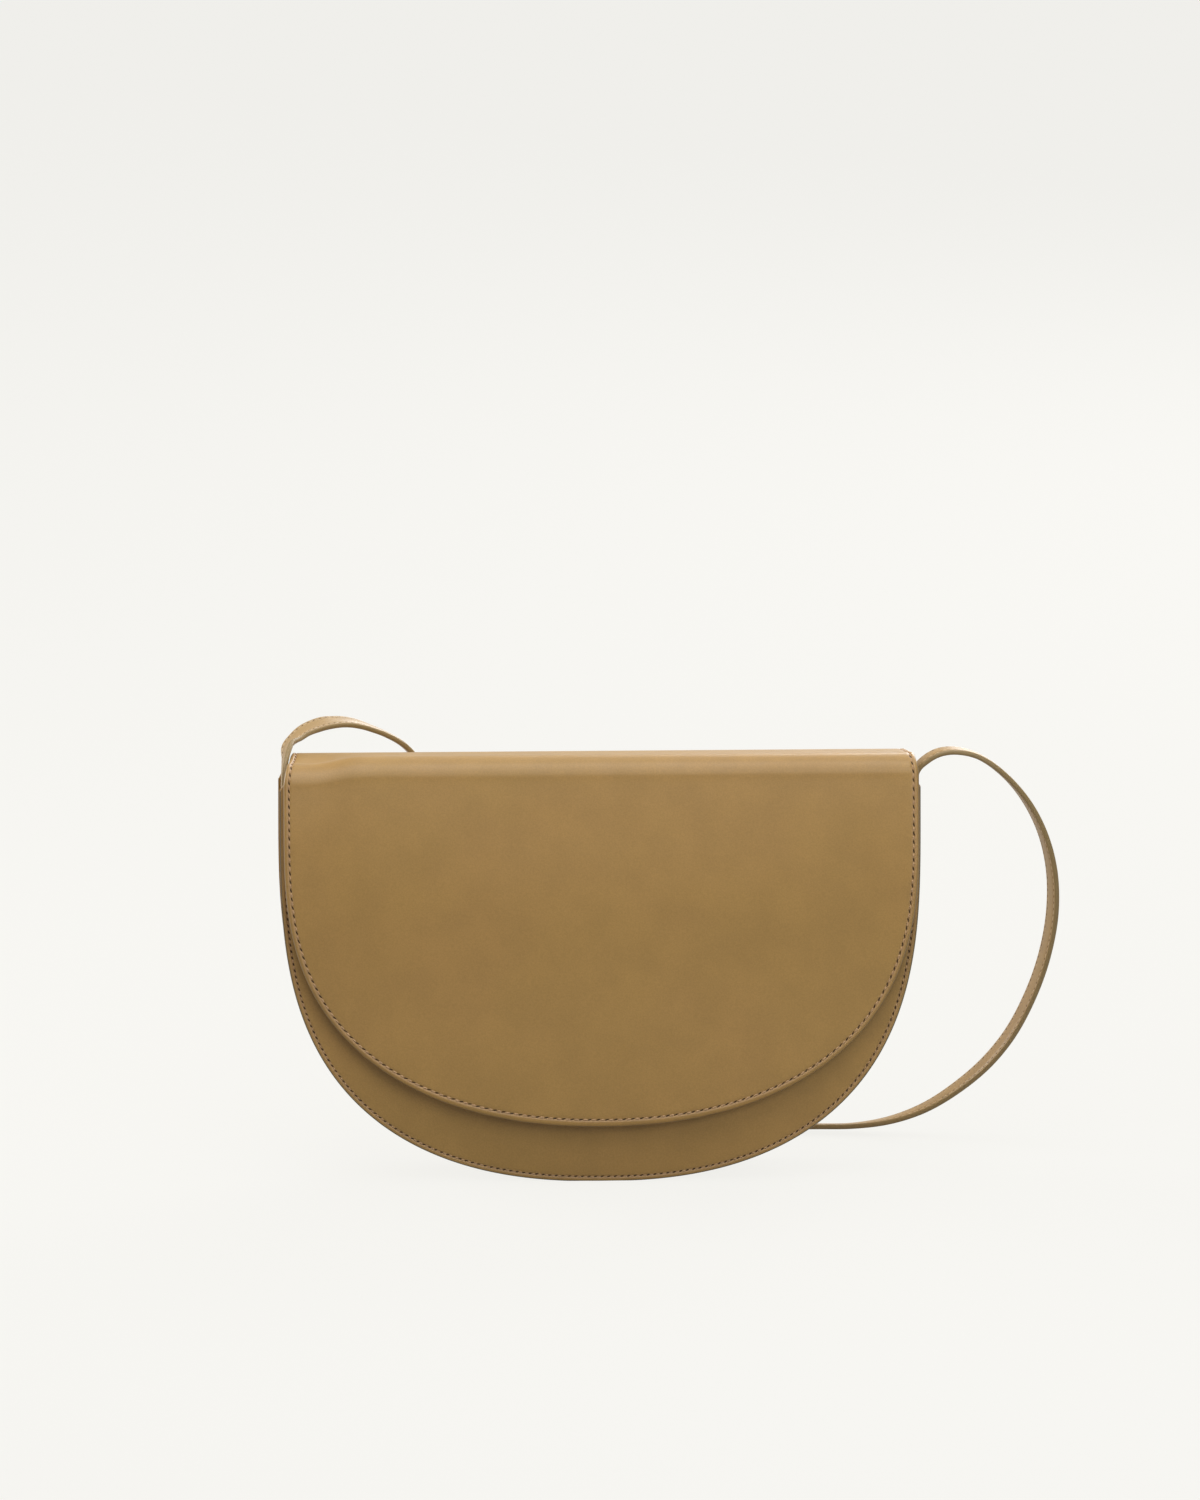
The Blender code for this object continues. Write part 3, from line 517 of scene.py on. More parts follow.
def band_skins(surface, half, low, high, depth, wall, columns, slack=None):
    """Face and back of a straight-edged band on a surface, with softened edges."""
    insets = np.array((0, 0.12, 0.6, 1.6)) * MM
    last = len(insets) - 1
    middle = np.linspace(low + insets[-1], high - insets[-1], 9)[1:-1]
    heights = np.concatenate((low + insets, middle, (high - insets)[::-1]))
    z = np.repeat(heights[:, None], columns + 1, axis=1)
    x = spread_across(half(heights)[:, None], insets, columns)
    ring = np.minimum(ring_numbers(len(heights) - 1, columns, True), last)
    extra = slack(x, z) if slack else 0
    skins = []
    for profile in ((0.25, 0.04, 0, 0), (0.75, 0.96, 1, 1)):
        level = depth + wall * np.array(profile)[ring] + extra
        skins.append(np.stack((x, surface(x, z, level), z), axis=-1))
    return skins


def seam_places(run, pitch, inset, seam_inset):
    """For each point: its run in stitches, and millimetres from the seam and from the edge."""
    return np.stack((run / pitch, (inset - seam_inset) / MM, inset / MM), axis=-1)


# Making a piece from its grids


def deselect():
    """Leave nothing selected."""
    bpy.ops.object.select_all(action="DESELECT")


def add_grid(name, rows, columns):
    """A grid primitive, ready to be laid in its place."""
    deselect()
    bpy.ops.mesh.primitive_grid_add(x_subdivisions=columns, y_subdivisions=rows, size=1)
    piece = bpy.context.object
    piece.name = piece.data.name = name
    return piece


def write_points(mesh, places, seam=None):
    """Lay a mesh's points in their places, and mark on them where the seam runs."""
    mesh.vertices.foreach_set("co", places.astype(np.float32).ravel())
    if seam is not None:
        marks = mesh.attributes.new("seam", "FLOAT_VECTOR", "POINT")
        marks.data.foreach_set("vector", seam.astype(np.float32).ravel())


def two_skins(name, face, back, material, seam=None):
    """A grid primitive given a wall, whose face and back are then laid in their places.

    face and back are grids of points; seam holds (run, offset, inset) for every point.
    """
    piece = add_grid(name, face.shape[0] - 1, face.shape[1] - 1)
    wall = piece.modifiers.new("Wall", "SOLIDIFY")
    wall.thickness = 0.1
    bpy.ops.object.modifier_apply(modifier=wall.name)
    mesh = piece.data
    if seam is not None:
        away = seam.copy()
        away[..., 1] = NO_SEAM
        seam = np.concatenate((seam.reshape(-1, 3), away.reshape(-1, 3)))
    places = np.concatenate((face.reshape(-1, 3), back.reshape(-1, 3)))
    write_points(mesh, places, seam)
    mesh.update()
    bpy.ops.object.mode_set(mode="EDIT")
    bpy.ops.mesh.select_all(action="SELECT")
    bpy.ops.mesh.normals_make_consistent(inside=False)
    bpy.ops.object.mode_set(mode="OBJECT")
    mesh.materials.append(material)
    bpy.ops.object.shade_smooth_by_angle(angle=math.radians(SMOOTH_ANGLE))
    return piece


# Finishes


def new_material(name, roughness, sheen=0.0, specular=0.5):
    """A material with its shader's plain values set, and its node tree."""
    material = bpy.data.materials.new(name)
    material.use_nodes = True
    shader = material.node_tree.nodes["Principled BSDF"]
    shader.inputs["Roughness"].default_value = roughness
    shader.inputs["Specular IOR Level"].default_value = specular
    shader.inputs["Sheen Weight"].default_value = sheen
    shader.inputs["Sheen Roughness"].default_value = 0.4
    return material, shader, Tree(material.node_tree)


class Tree:
    """Short ways to add and join nodes in one node tree."""

    def __init__(self, tree):
        self.tree = tree

    def join(self, source, target):
        """Link one socket to another."""
        self.tree.links.new(source, target)

    def fill(self, made, values):
        """Fill a node's sockets; values are (socket, value or other node's socket)."""
        for socket, value in values:
            if isinstance(value, bpy.types.NodeSocket):
                self.join(value, made.inputs[socket])
            else:
                made.inputs[socket].default_value = value
        return made

    def node(self, kind, values=(), **settings):
        """Add a node with its settings and values."""
        made = self.tree.nodes.new(kind)
        for key, value in settings.items():
            setattr(made, key, value)
        return self.fill(made, values)

    def group(self, name, values):
        """Place a node group with its values."""
        made = self.tree.nodes.new("ShaderNodeGroup")
        made.node_tree = bpy.data.node_groups[name]
        return self.fill(made, values)

    def place(self):
        """Where a point lies in its piece's own coordinates."""
        return self.node("ShaderNodeTexCoord").outputs["Object"]

    def maths(self, operation, first, second=None, third=None):
        """One sum on values or sockets."""
        values = [(i, v) for i, v in enumerate((first, second, third)) if v is not None]
        return self.node("ShaderNodeMath", values, operation=operation).outputs[0]

    def noise(self, vector, scale, detail=2.0, rough=0.5):
        """Noise between 0 and 1."""
        values = (("Vector", vector), ("Scale", scale), ("Detail", detail), ("Roughness", rough))
        return self.node("ShaderNodeTexNoise", values).outputs["Fac"]

    def ramp(self, value, low, high, to_low=0.0, to_high=1.0):
        """Map a value smoothly from one range to another."""
        values = ((0, value), (1, low), (2, high), (3, to_low), (4, to_high))
        return self.node(
            "ShaderNodeMapRange", values, interpolation_type="SMOOTHSTEP").outputs[0]

    def mix(self, share, first, second):
        """Mix two colours."""
        values = ((0, share), (6, first), (7, second))
        return self.node("ShaderNodeMix", values, data_type="RGBA").outputs[2]

    def scale(self, vector, share):
        """A colour made lighter or darker, or a place drawn nearer or further."""
        values = ((0, vector), ("Scale", share))
        return self.node("ShaderNodeVectorMath", values, operation="SCALE").outputs[0]

    def bump(self, height, distance, strength):
        """The normal of a surface with a fine height on it."""
        values = (("Height", height), ("Distance", distance), ("Strength", strength))
        return self.node("ShaderNodeBump", values).outputs[0]


def new_group(name, inputs, outputs):
    """A node group with its sockets: inputs as (name, kind, default), outputs as (name, kind)."""
    group = bpy.data.node_groups.new(name, "ShaderNodeTree")
    for label, kind, default in inputs:
        socket = group.interface.new_socket(label, in_out="INPUT", socket_type=kind)
        if default is not None:
            socket.default_value = default
    for label, kind in outputs:
        group.interface.new_socket(label, in_out="OUTPUT", socket_type=kind)
    start = group.nodes.new("NodeGroupInput")
    end = group.nodes.new("NodeGroupOutput")
    return Tree(group), start.outputs, end.inputs


def make_leather_tone():
    """Slow drifts of colour in dyed leather, and fine flecks."""
    tree, start, end = new_group(
        "leather_tone",
        (("Place", "NodeSocketVector", None), ("Colour", "NodeSocketColor", (1, 1, 1, 1)),
         ("Warm", "NodeSocketColor", (1, 1, 1, 1)), ("Drift", "NodeSocketFloat", 0.5)),
        (("Colour", "NodeSocketColor"),))
    place = start["Place"]
    patch = tree.ramp(tree.noise(place, 14, 3, 0.55), 0.38, 0.66)
    share = tree.maths("MULTIPLY", patch, start["Drift"])
    drifted = tree.mix(share, start["Colour"], start["Warm"])
    fleck = tree.ramp(tree.noise(place, 1500, 2, 0.6), 0.3, 0.7, 0.93, 1.06)
    cloud = tree.ramp(tree.noise(place, 60, 4), 0.3, 0.7, 0.96, 1.04)
    shade = tree.maths("MULTIPLY", fleck, cloud)
    tree.join(tree.scale(drifted, shade), end["Colour"])


def make_leather_grain():
    """Height of a fine smooth grain with faint drawn pores and creases."""
    tree, start, end = new_group(
        "leather_grain",
        (("Place", "NodeSocketVector", None), ("Fineness", "NodeSocketFloat", 1.0)),
        (("Height", "NodeSocketFloat"),))
    place = tree.scale(start["Place"], start["Fineness"])
    values = (("Vector", place), ("Scale", 1300.0), ("Smoothness", 0.6))
    pebble = tree.node(
        "ShaderNodeTexVoronoi", values, feature="SMOOTH_F1").outputs["Distance"]
    pebble = tree.ramp(pebble, 0.1, 0.6, 1.0, 0.0)
    pores = tree.ramp(tree.noise(place, 700, 3, 0.6), 0.58, 0.72)
    height = tree.maths("MULTIPLY", pebble, 0.55)
    height = tree.maths("SUBTRACT", height, tree.maths("MULTIPLY", pores, 0.5))
    soft = tree.noise(place, 180, 3, 0.6)
    height = tree.maths("ADD", height, tree.maths("MULTIPLY", soft, 0.9))
    tree.join(height, end["Height"])


def make_seam_marks():
    """Needle holes, the furrow that the thread draws, the ridge beside it, the painted edge."""
    tree, start, end = new_group(
        "seam_marks",
        (("Seam", "NodeSocketVector", None), ("Hole length", "NodeSocketFloat", 0.2),
         ("Hole width", "NodeSocketFloat", 0.35), ("Slant", "NodeSocketFloat", 0.0),
         ("Edge", "NodeSocketFloat", 0.4)),
        [(label, "NodeSocketFloat") for label in ("Hole", "Furrow", "Ridge", "Halo", "Edge")])
    run, offset, inset = tree.node("ShaderNodeSeparateXYZ", ((0, start["Seam"]),)).outputs
    phase = tree.maths("SUBTRACT", tree.maths("FRACT", run), 0.5)
    along = tree.maths("DIVIDE", phase, start["Hole length"])
    leaning = tree.maths("MULTIPLY", phase, start["Slant"])
    aside = tree.maths("SUBTRACT", offset, leaning)
    aside = tree.maths("DIVIDE", aside, start["Hole width"])
    squares = tree.maths("MULTIPLY", along, along)
    squares = tree.maths("MULTIPLY_ADD", aside, aside, squares)
    outside = tree.maths("ABSOLUTE", tree.maths("ADD", offset, 0.8))
    edge = tree.maths("SUBTRACT", 1.0, tree.ramp(inset, start["Edge"], 0.6))
    tree.join(tree.ramp(squares, 0.35, 1.5, 1.0, 0.0), end["Hole"])
    tree.join(tree.ramp(tree.maths("ABSOLUTE", offset), 0.0, 0.9, 1.0, 0.0), end["Furrow"])
    tree.join(tree.ramp(outside, 0.1, 0.75, 1.0, 0.0), end["Ridge"])
    tree.join(tree.ramp(squares, 1.2, 9.0, 1.0, 0.0), end["Halo"])
    tree.join(edge, end["Edge"])


def leather(name, colour, edge_colour, hole=None, warm=KHAKI_WARM, roughness=0.38, fine=1.0):
    """Dyed leather, with needle holes along its seam where hole gives their size; the holes get
    painted shade and the ridge beside the seam a painted highlight.
    """
    material, shader, tree = new_material(name, roughness, specular=0.45)
    place = tree.place()
    base = tree.group("leather_tone", (
        ("Place", place), ("Colour", colour), ("Warm", warm), ("Drift", 0.2))).outputs["Colour"]
    grain = tree.group("leather_grain", (("Place", place), ("Fineness", fine)))
    height = tree.maths("MULTIPLY", grain.outputs["Height"], 0.035)
    shine = tree.ramp(tree.noise(place, 90, 3), 0.3, 0.7, roughness - 0.02, roughness + 0.03)
    if hole:
        length, width, slant = hole
        seam = tree.node("ShaderNodeAttribute", attribute_name="seam").outputs["Vector"]
        marks = tree.group("seam_marks", (
            ("Seam", seam), ("Hole length", length), ("Hole width", width),
            ("Slant", slant))).outputs
        base = tree.mix(tree.maths("MULTIPLY", marks["Halo"], 0.25), base, THREAD_TAN)
        # Painted highlight: the raised ridge beside the seam is lightened towards the thread
        # colour
        base = tree.mix(tree.maths("MULTIPLY", marks["Ridge"], 0.4), base, THREAD_TAN)
        base = tree.mix(marks["Edge"], base, edge_colour)
        # The needle holes are painted dark brown as the shade inside them
        base = tree.mix(marks["Hole"], base, PAINTED_HOLE_SHADE)
        for mark, depth in (("Ridge", 0.12), ("Hole", -0.5), ("Furrow", -0.05)):
            height = tree.maths("ADD", height, tree.maths("MULTIPLY", marks[mark], depth))
        shine = tree.maths("ADD", shine, tree.maths("MULTIPLY", marks["Hole"], 0.3))
    tree.join(base, shader.inputs["Base Color"])
    tree.join(shine, shader.inputs["Roughness"])
    tree.join(tree.bump(height, MM, 0.6), shader.inputs["Normal"])
    return material


def fibrous(name, colour, noise, shades, depth, **finish):
    """A stuff of short fibres: noise is (scale, detail, roughness), shades dark and light."""
    material, shader, tree = new_material(name, **finish)
    fibre = tree.noise(tree.place(), *noise)
    shade = tree.ramp(fibre, 0.3, 0.7, *shades)
    tree.join(tree.scale(colour[:3], shade), shader.inputs["Base Color"])
    tree.join(tree.bump(fibre, depth, 0.5), shader.inputs["Normal"])
    return material


def thread(name, colour):
    """Waxed twisted sewing thread."""
    return fibrous(
        name, colour, (2400, 3, 0.6), (0.8, 1.15), 0.1 * MM, roughness=0.55, sheen=0.2)


def fibre_board(name, colour):
    """Bonded leather fibre board."""
    return fibrous(
        name, colour, (900, 5, 0.7), (0.7, 1.2), 0.2 * MM, roughness=0.92, specular=0.2)


def cotton(name, colour):
    """Fine plain woven lining."""
    material, shader, tree = new_material(name, 0.85, sheen=0.25, specular=0.25)
    place = tree.place()
    parts = tree.node("ShaderNodeSeparateXYZ", ((0, place),)).outputs
    wobble = tree.noise(place, 120, 2)
    waves = []
    for axis in (parts[0], parts[2]):
        bent = tree.maths("MULTIPLY", axis, CLOTH_THREADS)
        bent = tree.maths("MULTIPLY_ADD", wobble, 0.3, bent)
        waves.append(tree.maths("ABSOLUTE", tree.maths("SINE", bent)))
    height = tree.maths("MULTIPLY", *waves)
    slub = tree.ramp(tree.noise(place, 300, 3), 0.3, 0.7, 0.98, 1.02)
    # Painted shade: the low parts of the weave between the threads are darkened; the slub is
    # random tone
    shade = tree.maths("MULTIPLY", tree.ramp(height, 0.0, 1.0, 0.88, 1.03), slub)
    tree.join(tree.scale(colour[:3], shade), shader.inputs["Base Color"])
    tree.join(tree.bump(height, 0.12 * MM, 0.6), shader.inputs["Normal"])
    return material


def brass(name, colour):
    """Plated brass with fine turned marks and handling haze."""
    material, shader, tree = new_material(name, 0.28)
    place = tree.place()
    shader.inputs["Metallic"].default_value = 1
    shine = tree.ramp(tree.noise(place, 350, 4, 0.6), 0.3, 0.75, 0.2, 0.42)
    shade = tree.ramp(tree.noise(place, 120, 3), 0.3, 0.7, 0.86, 1.05)
    tree.join(tree.scale(colour[:3], shade), shader.inputs["Base Color"])
    tree.join(shine, shader.inputs["Roughness"])
    return material


make_leather_tone()
make_leather_grain()
make_seam_marks()
FLAP_LEATHER = leather("flap_khaki_leather", KHAKI, FLAP_RIM, (0.24, 0.34, 1.0))
PANEL_LEATHER = leather("panel_khaki_leather", KHAKI, EDGE_PAINT, (0.25, 0.36, 0.7))
GUSSET_LEATHER = leather("gusset_khaki_leather", KHAKI, EDGE_PAINT)
FACING_LEATHER = leather(
    "facing_khaki_leather", KHAKI_DEEP, EDGE_PAINT, warm=KHAKI_DEEP, roughness=0.55)
STRAP_LEATHER = leather(
    "strap_khaki_leather", STRAP_KHAKI, KHAKI_OLIVE, (0.18, 0.24, 0.0), fine=0.7)
SEWING_TAN = thread("tan_thread", THREAD_TAN)
SEWING_PALE = thread("pale_thread", THREAD_PALE)
LINING_CLOTH = cotton("sand_cotton", SAND)
STIFF_BOARD = fibre_board("fibre_board", BOARD_GREY)
PALE_BRASS = brass("pale_brass", BRASS)


# Threads that show between the needle holes


def make_bead(length, width, height):
    """One stitch of thread along X, rounded and sunk at both ends."""
    deselect()
    bpy.ops.mesh.primitive_uv_sphere_add(segments=8, ring_count=6, radius=0.5)
    bead = bpy.context.object
    bpy.ops.object.mode_set(mode="EDIT")
    bpy.ops.mesh.select_all(action="SELECT")
    bpy.ops.transform.rotate(value=math.pi / 2, orient_axis="Y", center_override=(0, 0, 0))
    bpy.ops.transform.resize(value=(length, width, height), center_override=(0, 0, 0))
    bpy.ops.object.mode_set(mode="OBJECT")
    bpy.ops.object.shade_smooth()
    return bead


def sew(name, size, stitches, slant, material):
    """Set a copied stitch at each (before, after, inward, out sign) and join them into a seam."""
    bead = make_bead(*size)
    copies = []
    for before, after, inward, sign in stitches:
        before, after, inward = Vector(before), Vector(after), Vector(inward)
        along = (after - before).normalized()
        aside = (inward - along * inward.dot(along)).normalized()
        leaning = (along + aside * slant).normalized()
        out = leaning.cross(aside).normalized() * sign
        turn = Matrix((leaning, out.cross(leaning), out)).transposed().to_4x4()
        one = bead.copy()
        one.data = bead.data.copy()
        bpy.context.scene.collection.objects.link(one)
        one.matrix_world = Matrix.Translation((before + after) / 2) @ turn
        copies.append(one)
    bpy.data.objects.remove(bead)
    deselect()
    for one in copies:
        one.select_set(True)
    bpy.context.view_layer.objects.active = copies[0]
    bpy.ops.object.join()
    seam = bpy.context.object
    bpy.ops.object.transform_apply()
    seam.name = seam.data.name = name
    seam.data.materials.append(material)
    return seam


def stitches_along(place, runs, half, inset=0.0, sign=1):
    """Ends, inward direction and outward sign of the stitches at some runs of an edge.

    place gives the point at a run and an inset; half is half the reach of a stitch.
    """
    inset = inset + np.zeros_like(runs)
    before = place(runs - half, inset)
    after = place(runs + half, inset)
    middle = place(runs, inset)
    inner = place(runs, inset + 0.5 * MM)
    return [(b, a, i - m, sign) for b, a, i, m in zip(before, after, inner, middle)]


# Flap


class Fold:
    """The flap's side view over the mouth: up from the mouth, round the fold, back, down."""

    def __init__(self):
        slope = (BASE_DEPTH - MOUTH_DEPTH) / 2 / MOUTH_HEIGHT
        lean = math.atan(slope)
        face = float(flap_y(BODY_WIDTH / 2, MOUTH_HEIGHT))
        centre_y = face + FOLD_RADIUS * math.cos(lean)
        centre_z = MOUTH_HEIGHT - FOLD_RADIUS * math.sin(lean)
        rear_z = MOUTH_HEIGHT + REAR_RISE
        rear_y = BODY_SHIFT + half_depth(rear_z) + GAP + FLAP_WALL
        away = math.hypot(rear_y - centre_y, rear_z - centre_z)
        start = math.atan2(rear_z - centre_z, rear_y - centre_y) + math.acos(FOLD_RADIUS / away)
        angles = np.linspace(math.pi - lean, start, FOLD_STEPS)
        points = [
            (centre_y + FOLD_RADIUS * math.cos(a), centre_z + FOLD_RADIUS * math.sin(a))
            for a in angles
        ]
        crest = np.array(points[-1])
        corner = np.array((rear_y, rear_z))
        across = (corner - crest) / np.linalg.norm(corner - crest)
        down = np.array((slope, -1)) / math.hypot(slope, 1)
        near = corner - across * REAR_BEND
        far = corner + down * REAR_BEND
        for share in np.linspace(0, 1, 9):
            bend = (1 - share) ** 2 * near + 2 * share * (1 - share) * corner + share ** 2 * far
            points.append(tuple(bend))
        points.append(tuple(corner + down * (FLAP_WALL + GAP + TAB_LENGTH)))
        self.points = np.array(points)
        steps = np.hypot(*np.diff(self.points, axis=0).T)
        self.along = np.concatenate(([0], np.cumsum(steps)))
        self.length = self.along[-1]
        self.crest_run = FOLD_RADIUS * (angles[0] - start)
        self.rear_run = self.crest_run + np.linalg.norm(corner - crest)
        self.middle_run = (self.crest_run + self.rear_run) / 2

    def place(self, run):
        """Place (y, z) of the outer face at a run from the mouth's height."""
        return [np.interp(run, self.along, column) for column in self.points.T]

    def at(self, run, depth):
        """Place (y, z) at a run from the mouth's height, a depth inside the outer face."""
        y, z = self.place(run)
        before = self.place(np.asarray(run) - 0.6 * MM)
        after = self.place(np.asarray(run) + 0.6 * MM)
        dy, dz = after[0] - before[0], after[1] - before[1]
        length = np.hypot(dy, dz)
        return y + depth * dz / length, z - depth * dy / length

    def half_width(self, run):
        """Half the flap's width at a run from the mouth's height."""
        round_part = FLAP_WIDTH + (CREST_WIDTH - FLAP_WIDTH) * ease(run, 0, self.crest_run)
        back = np.clip((run - self.crest_run) / (self.rear_run - self.crest_run), 0, 1)
        return (round_part + (REAR_WIDTH - CREST_WIDTH) * back ** REAR_TAPER) / 2


FOLD = Fold()
LEFT_HALF = np.arange(BASE_COLUMNS + 1) < BASE_COLUMNS / 2


def crown_rear(across, y, z):
    """Push the flap's rear out with the crown of the back that it is sewn on."""
    return y + BACK_CROWN * swell(across, z) * ease(y, *REAR_CROWN_DEPTHS)


def settle(points):
    """Let the flap's fold sink at its left end, as soft leather does, and hang a little uneven."""
    x, y, z = points[..., 0], points[..., 1], points[..., 2]
    side = ease(x, *SAG_WIDTHS)
    behind = 1 - ease(y, *SAG_DEPTHS)
    above = ease(z, *SAG_HEIGHTS)
    hang = 1 - ease(z, *HANG_HEIGHTS)
    front = 1 - ease(y, *FRONT_DEPTHS)
    over = (z - PUFF_HEIGHT) / (MOUTH_HEIGHT - PUFF_HEIGHT)
    under = (z - PUFF_HEIGHT) / PUFF_FADE
    puff = np.where(z > PUFF_HEIGHT, 1 - over ** 2, np.exp(-under ** 2))
    wave = np.sin(x * 21 + z * 9) * 0.25 + np.sin(x * 47 - z * 31 + 1.3) * 0.12
    push = wave * HANG_WAVE * hang
    for dent_x, dent_z, wide, high, depth in DENTS:
        push = push + depth * np.exp(-((x - dent_x) / wide) ** 2 - ((z - dent_z) / high) ** 2)
    push = push - PUFF * np.maximum(puff, 0)
    return np.stack((x, y + push * front, z - SAG * side * behind * above), axis=-1)


def flap_grid(profile, fold_runs, start_inset=0.0, base_depth=0.0, rise=0.0):
    """Points, runs and insets of one skin of the flap's front, from its tip to mid mouth.

    rise is how far the skin comes up towards the face over the mouth.
    """
    insets, depths = profile_sizes(profile)
    insets = insets + start_inset
    hanging = moon_places(FLAP_EDGE, insets, flap_widen, SIDE_ROWS, BASE_COLUMNS)
    depth = ring_depths(depths, SIDE_ROWS, BASE_COLUMNS) + base_depth
    x, z = hanging[..., 0], hanging[..., 1]
    points = np.stack((x, flap_y(x, z, depth), z), axis=-1)
    up = np.repeat(fold_runs[:, None], BASE_COLUMNS + 1, axis=1)
    level = depth[-1] - rise * ease(up, FOLD.crest_run / 2, FOLD.middle_run)
    y, z = FOLD.at(up, level)
    across = spread_across(FOLD.half_width(fold_runs)[:, None], insets, BASE_COLUMNS)
    folded = np.stack((across + FLAP_SHIFT, y, z), axis=-1)
    folded_run = np.where(LEFT_HALF, -up, FLAP_EDGE.length + up)
    folded_inset = np.repeat(hanging[-1:, :, 3], len(fold_runs), axis=0)
    return (
        np.concatenate((points, folded)), np.concatenate((hanging[..., 2], folded_run)),
        np.concatenate((hanging[..., 3], folded_inset)))


def rear_grid(profile, last_run, rows, base_depth=0.0, side_inset=0.0, low_edge=True):
    """Points, runs and insets of one skin of the flap from mid mouth to the tab's edge."""
    insets, depths = profile_sizes(profile)
    last = len(insets) - 1
    columns = BASE_COLUMNS
    depth = ring_depths(depths, rows, columns)
    runs = np.linspace(last_run, FOLD.middle_run, rows + 1)
    if low_edge:
        upper = np.linspace(last_run - insets[-1], FOLD.middle_run, rows - last + 1)[1:]
        runs = np.concatenate((last_run - insets, upper))
    else:
        depth = np.repeat(depth[-1:], rows + 1, axis=0)
    run = np.repeat(runs[:, None], columns + 1, axis=1)
    across = spread_across(FOLD.half_width(runs)[:, None] - side_inset, insets, columns)
    y, z = FOLD.at(run, depth + base_depth)
    points = np.stack((across + FLAP_SHIFT, crown_rear(across, y, z), z), axis=-1)
    column = np.arange(columns + 1)
    side = np.minimum(column, columns - column)
    side_in = insets[np.minimum(side, last)] + (side > last) * INSIDE_RINGS
    inset = np.repeat(side_in[None, :], rows + 1, axis=0)
    if low_edge:
        low_in = np.concatenate((insets, np.full(rows - last, insets[-1] + INSIDE_RINGS)))
        inset = np.minimum(inset, low_in[:, None])
    return points, run, inset


def fold_runs(round_steps, straight_steps):
    """Runs over the fold's round part and on to the middle of the mouth."""
    round_part = np.linspace(0, FOLD.crest_run, round_steps)[1:]
    straight_part = np.linspace(FOLD.crest_run, FOLD.middle_run, straight_steps)[1:]
    return np.concatenate((round_part, straight_part))


def build_flap_front():
    """The flap's leather from the middle of the mouth over the fold to its tip."""
    runs = fold_runs(15, 8)
    face, run, inset = flap_grid(ROLLED_FACE, runs)
    back = flap_grid(ROLLED_BACK, runs)[0]
    seam = seam_places(run, FLAP_PITCH, inset, SEAM_INSET * MM * flap_widen(run))
    piece = two_skins("flap_front_leather", settle(face), settle(back), FLAP_LEATHER, seam)
    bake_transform(piece)
    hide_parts("flap_leather")


def build_flap_rear():
    """The flap's leather from the middle of the mouth over the rear edge to the sewn tab."""
    face, run, inset = rear_grid(ROLLED_THIN, FOLD.length, REAR_ROWS)
    back = rear_grid(THIN_BACK, FOLD.length, REAR_ROWS)[0]
    from_low = FOLD.length - run
    on_tab = (from_low < TAB_SEAM_HEIGHT) & (from_low < inset + TINY)
    side_run = np.where(LEFT_HALF, -run, FLAP_EDGE.length + run)
    seam_run = np.where(on_tab, face[..., 0], side_run)
    seam = seam_places(seam_run, FLAP_PITCH, inset, SEAM_INSET * MM)
    piece = two_skins("flap_rear_leather", settle(face), settle(back), FLAP_LEATHER, seam)
    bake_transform(piece)
    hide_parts("bridge_leather", "flap_tab")


def build_flap_board():
    """The thin stiffener between the flap's leather and its cloth."""
    outline = flap_outline(FLAP_BOARD_INSET, MOUTH_HEIGHT - FLAP_BOARD_DROP)
    skins = [
        settle(moon_layer(outline, profile, flap_y, FLAP_BOARD_DEPTH))
        for profile in plain_profile(FLAP_BOARD_WALL / MM)
    ]
    piece = two_skins("flap_stiffener", *skins, STIFF_BOARD)
    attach(piece, "flap_front")
    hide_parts("flap_board")


def build_flap_lining():
    """The cloth under the flap, in two stretches that meet in the middle of the mouth."""
    profiles = plain_profile(FLAP_LINING_WALL / MM)
    runs = fold_runs(11, 6)
    skins = [
        flap_grid(profile, runs, FLAP_LINING_INSET, FLAP_LINING_DEPTH, FLAP_LINING_RISE)[0]
        for profile in profiles
    ]
    piece = two_skins("flap_front_lining", *map(settle, skins), LINING_CLOTH)
    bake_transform(piece)
    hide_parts("flap_lining")
    skins = [
        rear_grid(
            profile, FOLD.rear_run - BRIDGE_LINING_SHORT, REAR_LINING_ROWS, BRIDGE_LINING_DEPTH,
            FLAP_LINING_INSET, False)[0]
        for profile in profiles
    ]
    piece = two_skins("flap_rear_lining", *map(settle, skins), LINING_CLOTH)
    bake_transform(piece)
    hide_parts("bridge_lining")


def flap_place(depth):
    """Gives the place on the flap at a run along its edge and an inset from it."""
    def place(run, inset):
        x, z = FLAP_EDGE.inside(np.clip(run, 0, FLAP_EDGE.length), inset)
        hanging = np.stack((x, flap_y(x, z, depth), z), axis=-1)
        up = np.maximum(np.where(run < 0, -run, run - FLAP_EDGE.length), 0)
        half = FOLD.half_width(up) - inset
        y, z = FOLD.at(up, depth)
        x = np.where(run < 0, -1, 1) * half + FLAP_SHIFT
        over = np.stack((x, crown_rear(half, y, z), z), axis=-1)
        return settle(np.where((up > 0)[:, None], over, hanging))
    return place


def tab_place(across, inset):
    """The place on the sewn tab at a distance across it and an inset from its low edge."""
    y, z = FOLD.at(FOLD.length - inset, FLAP_THREAD_DEPTH)
    return np.stack((across, crown_rear(across, y, z), z), axis=-1)


def flap_stitches(runs, depth, sign=1):
    """Stitches along the flap's edge, at a depth inside its face."""
    inset = SEAM_INSET * MM * flap_widen(np.clip(runs, 0, FLAP_EDGE.length))
    return stitches_along(flap_place(depth), runs, FLAP_REACH, inset, sign)


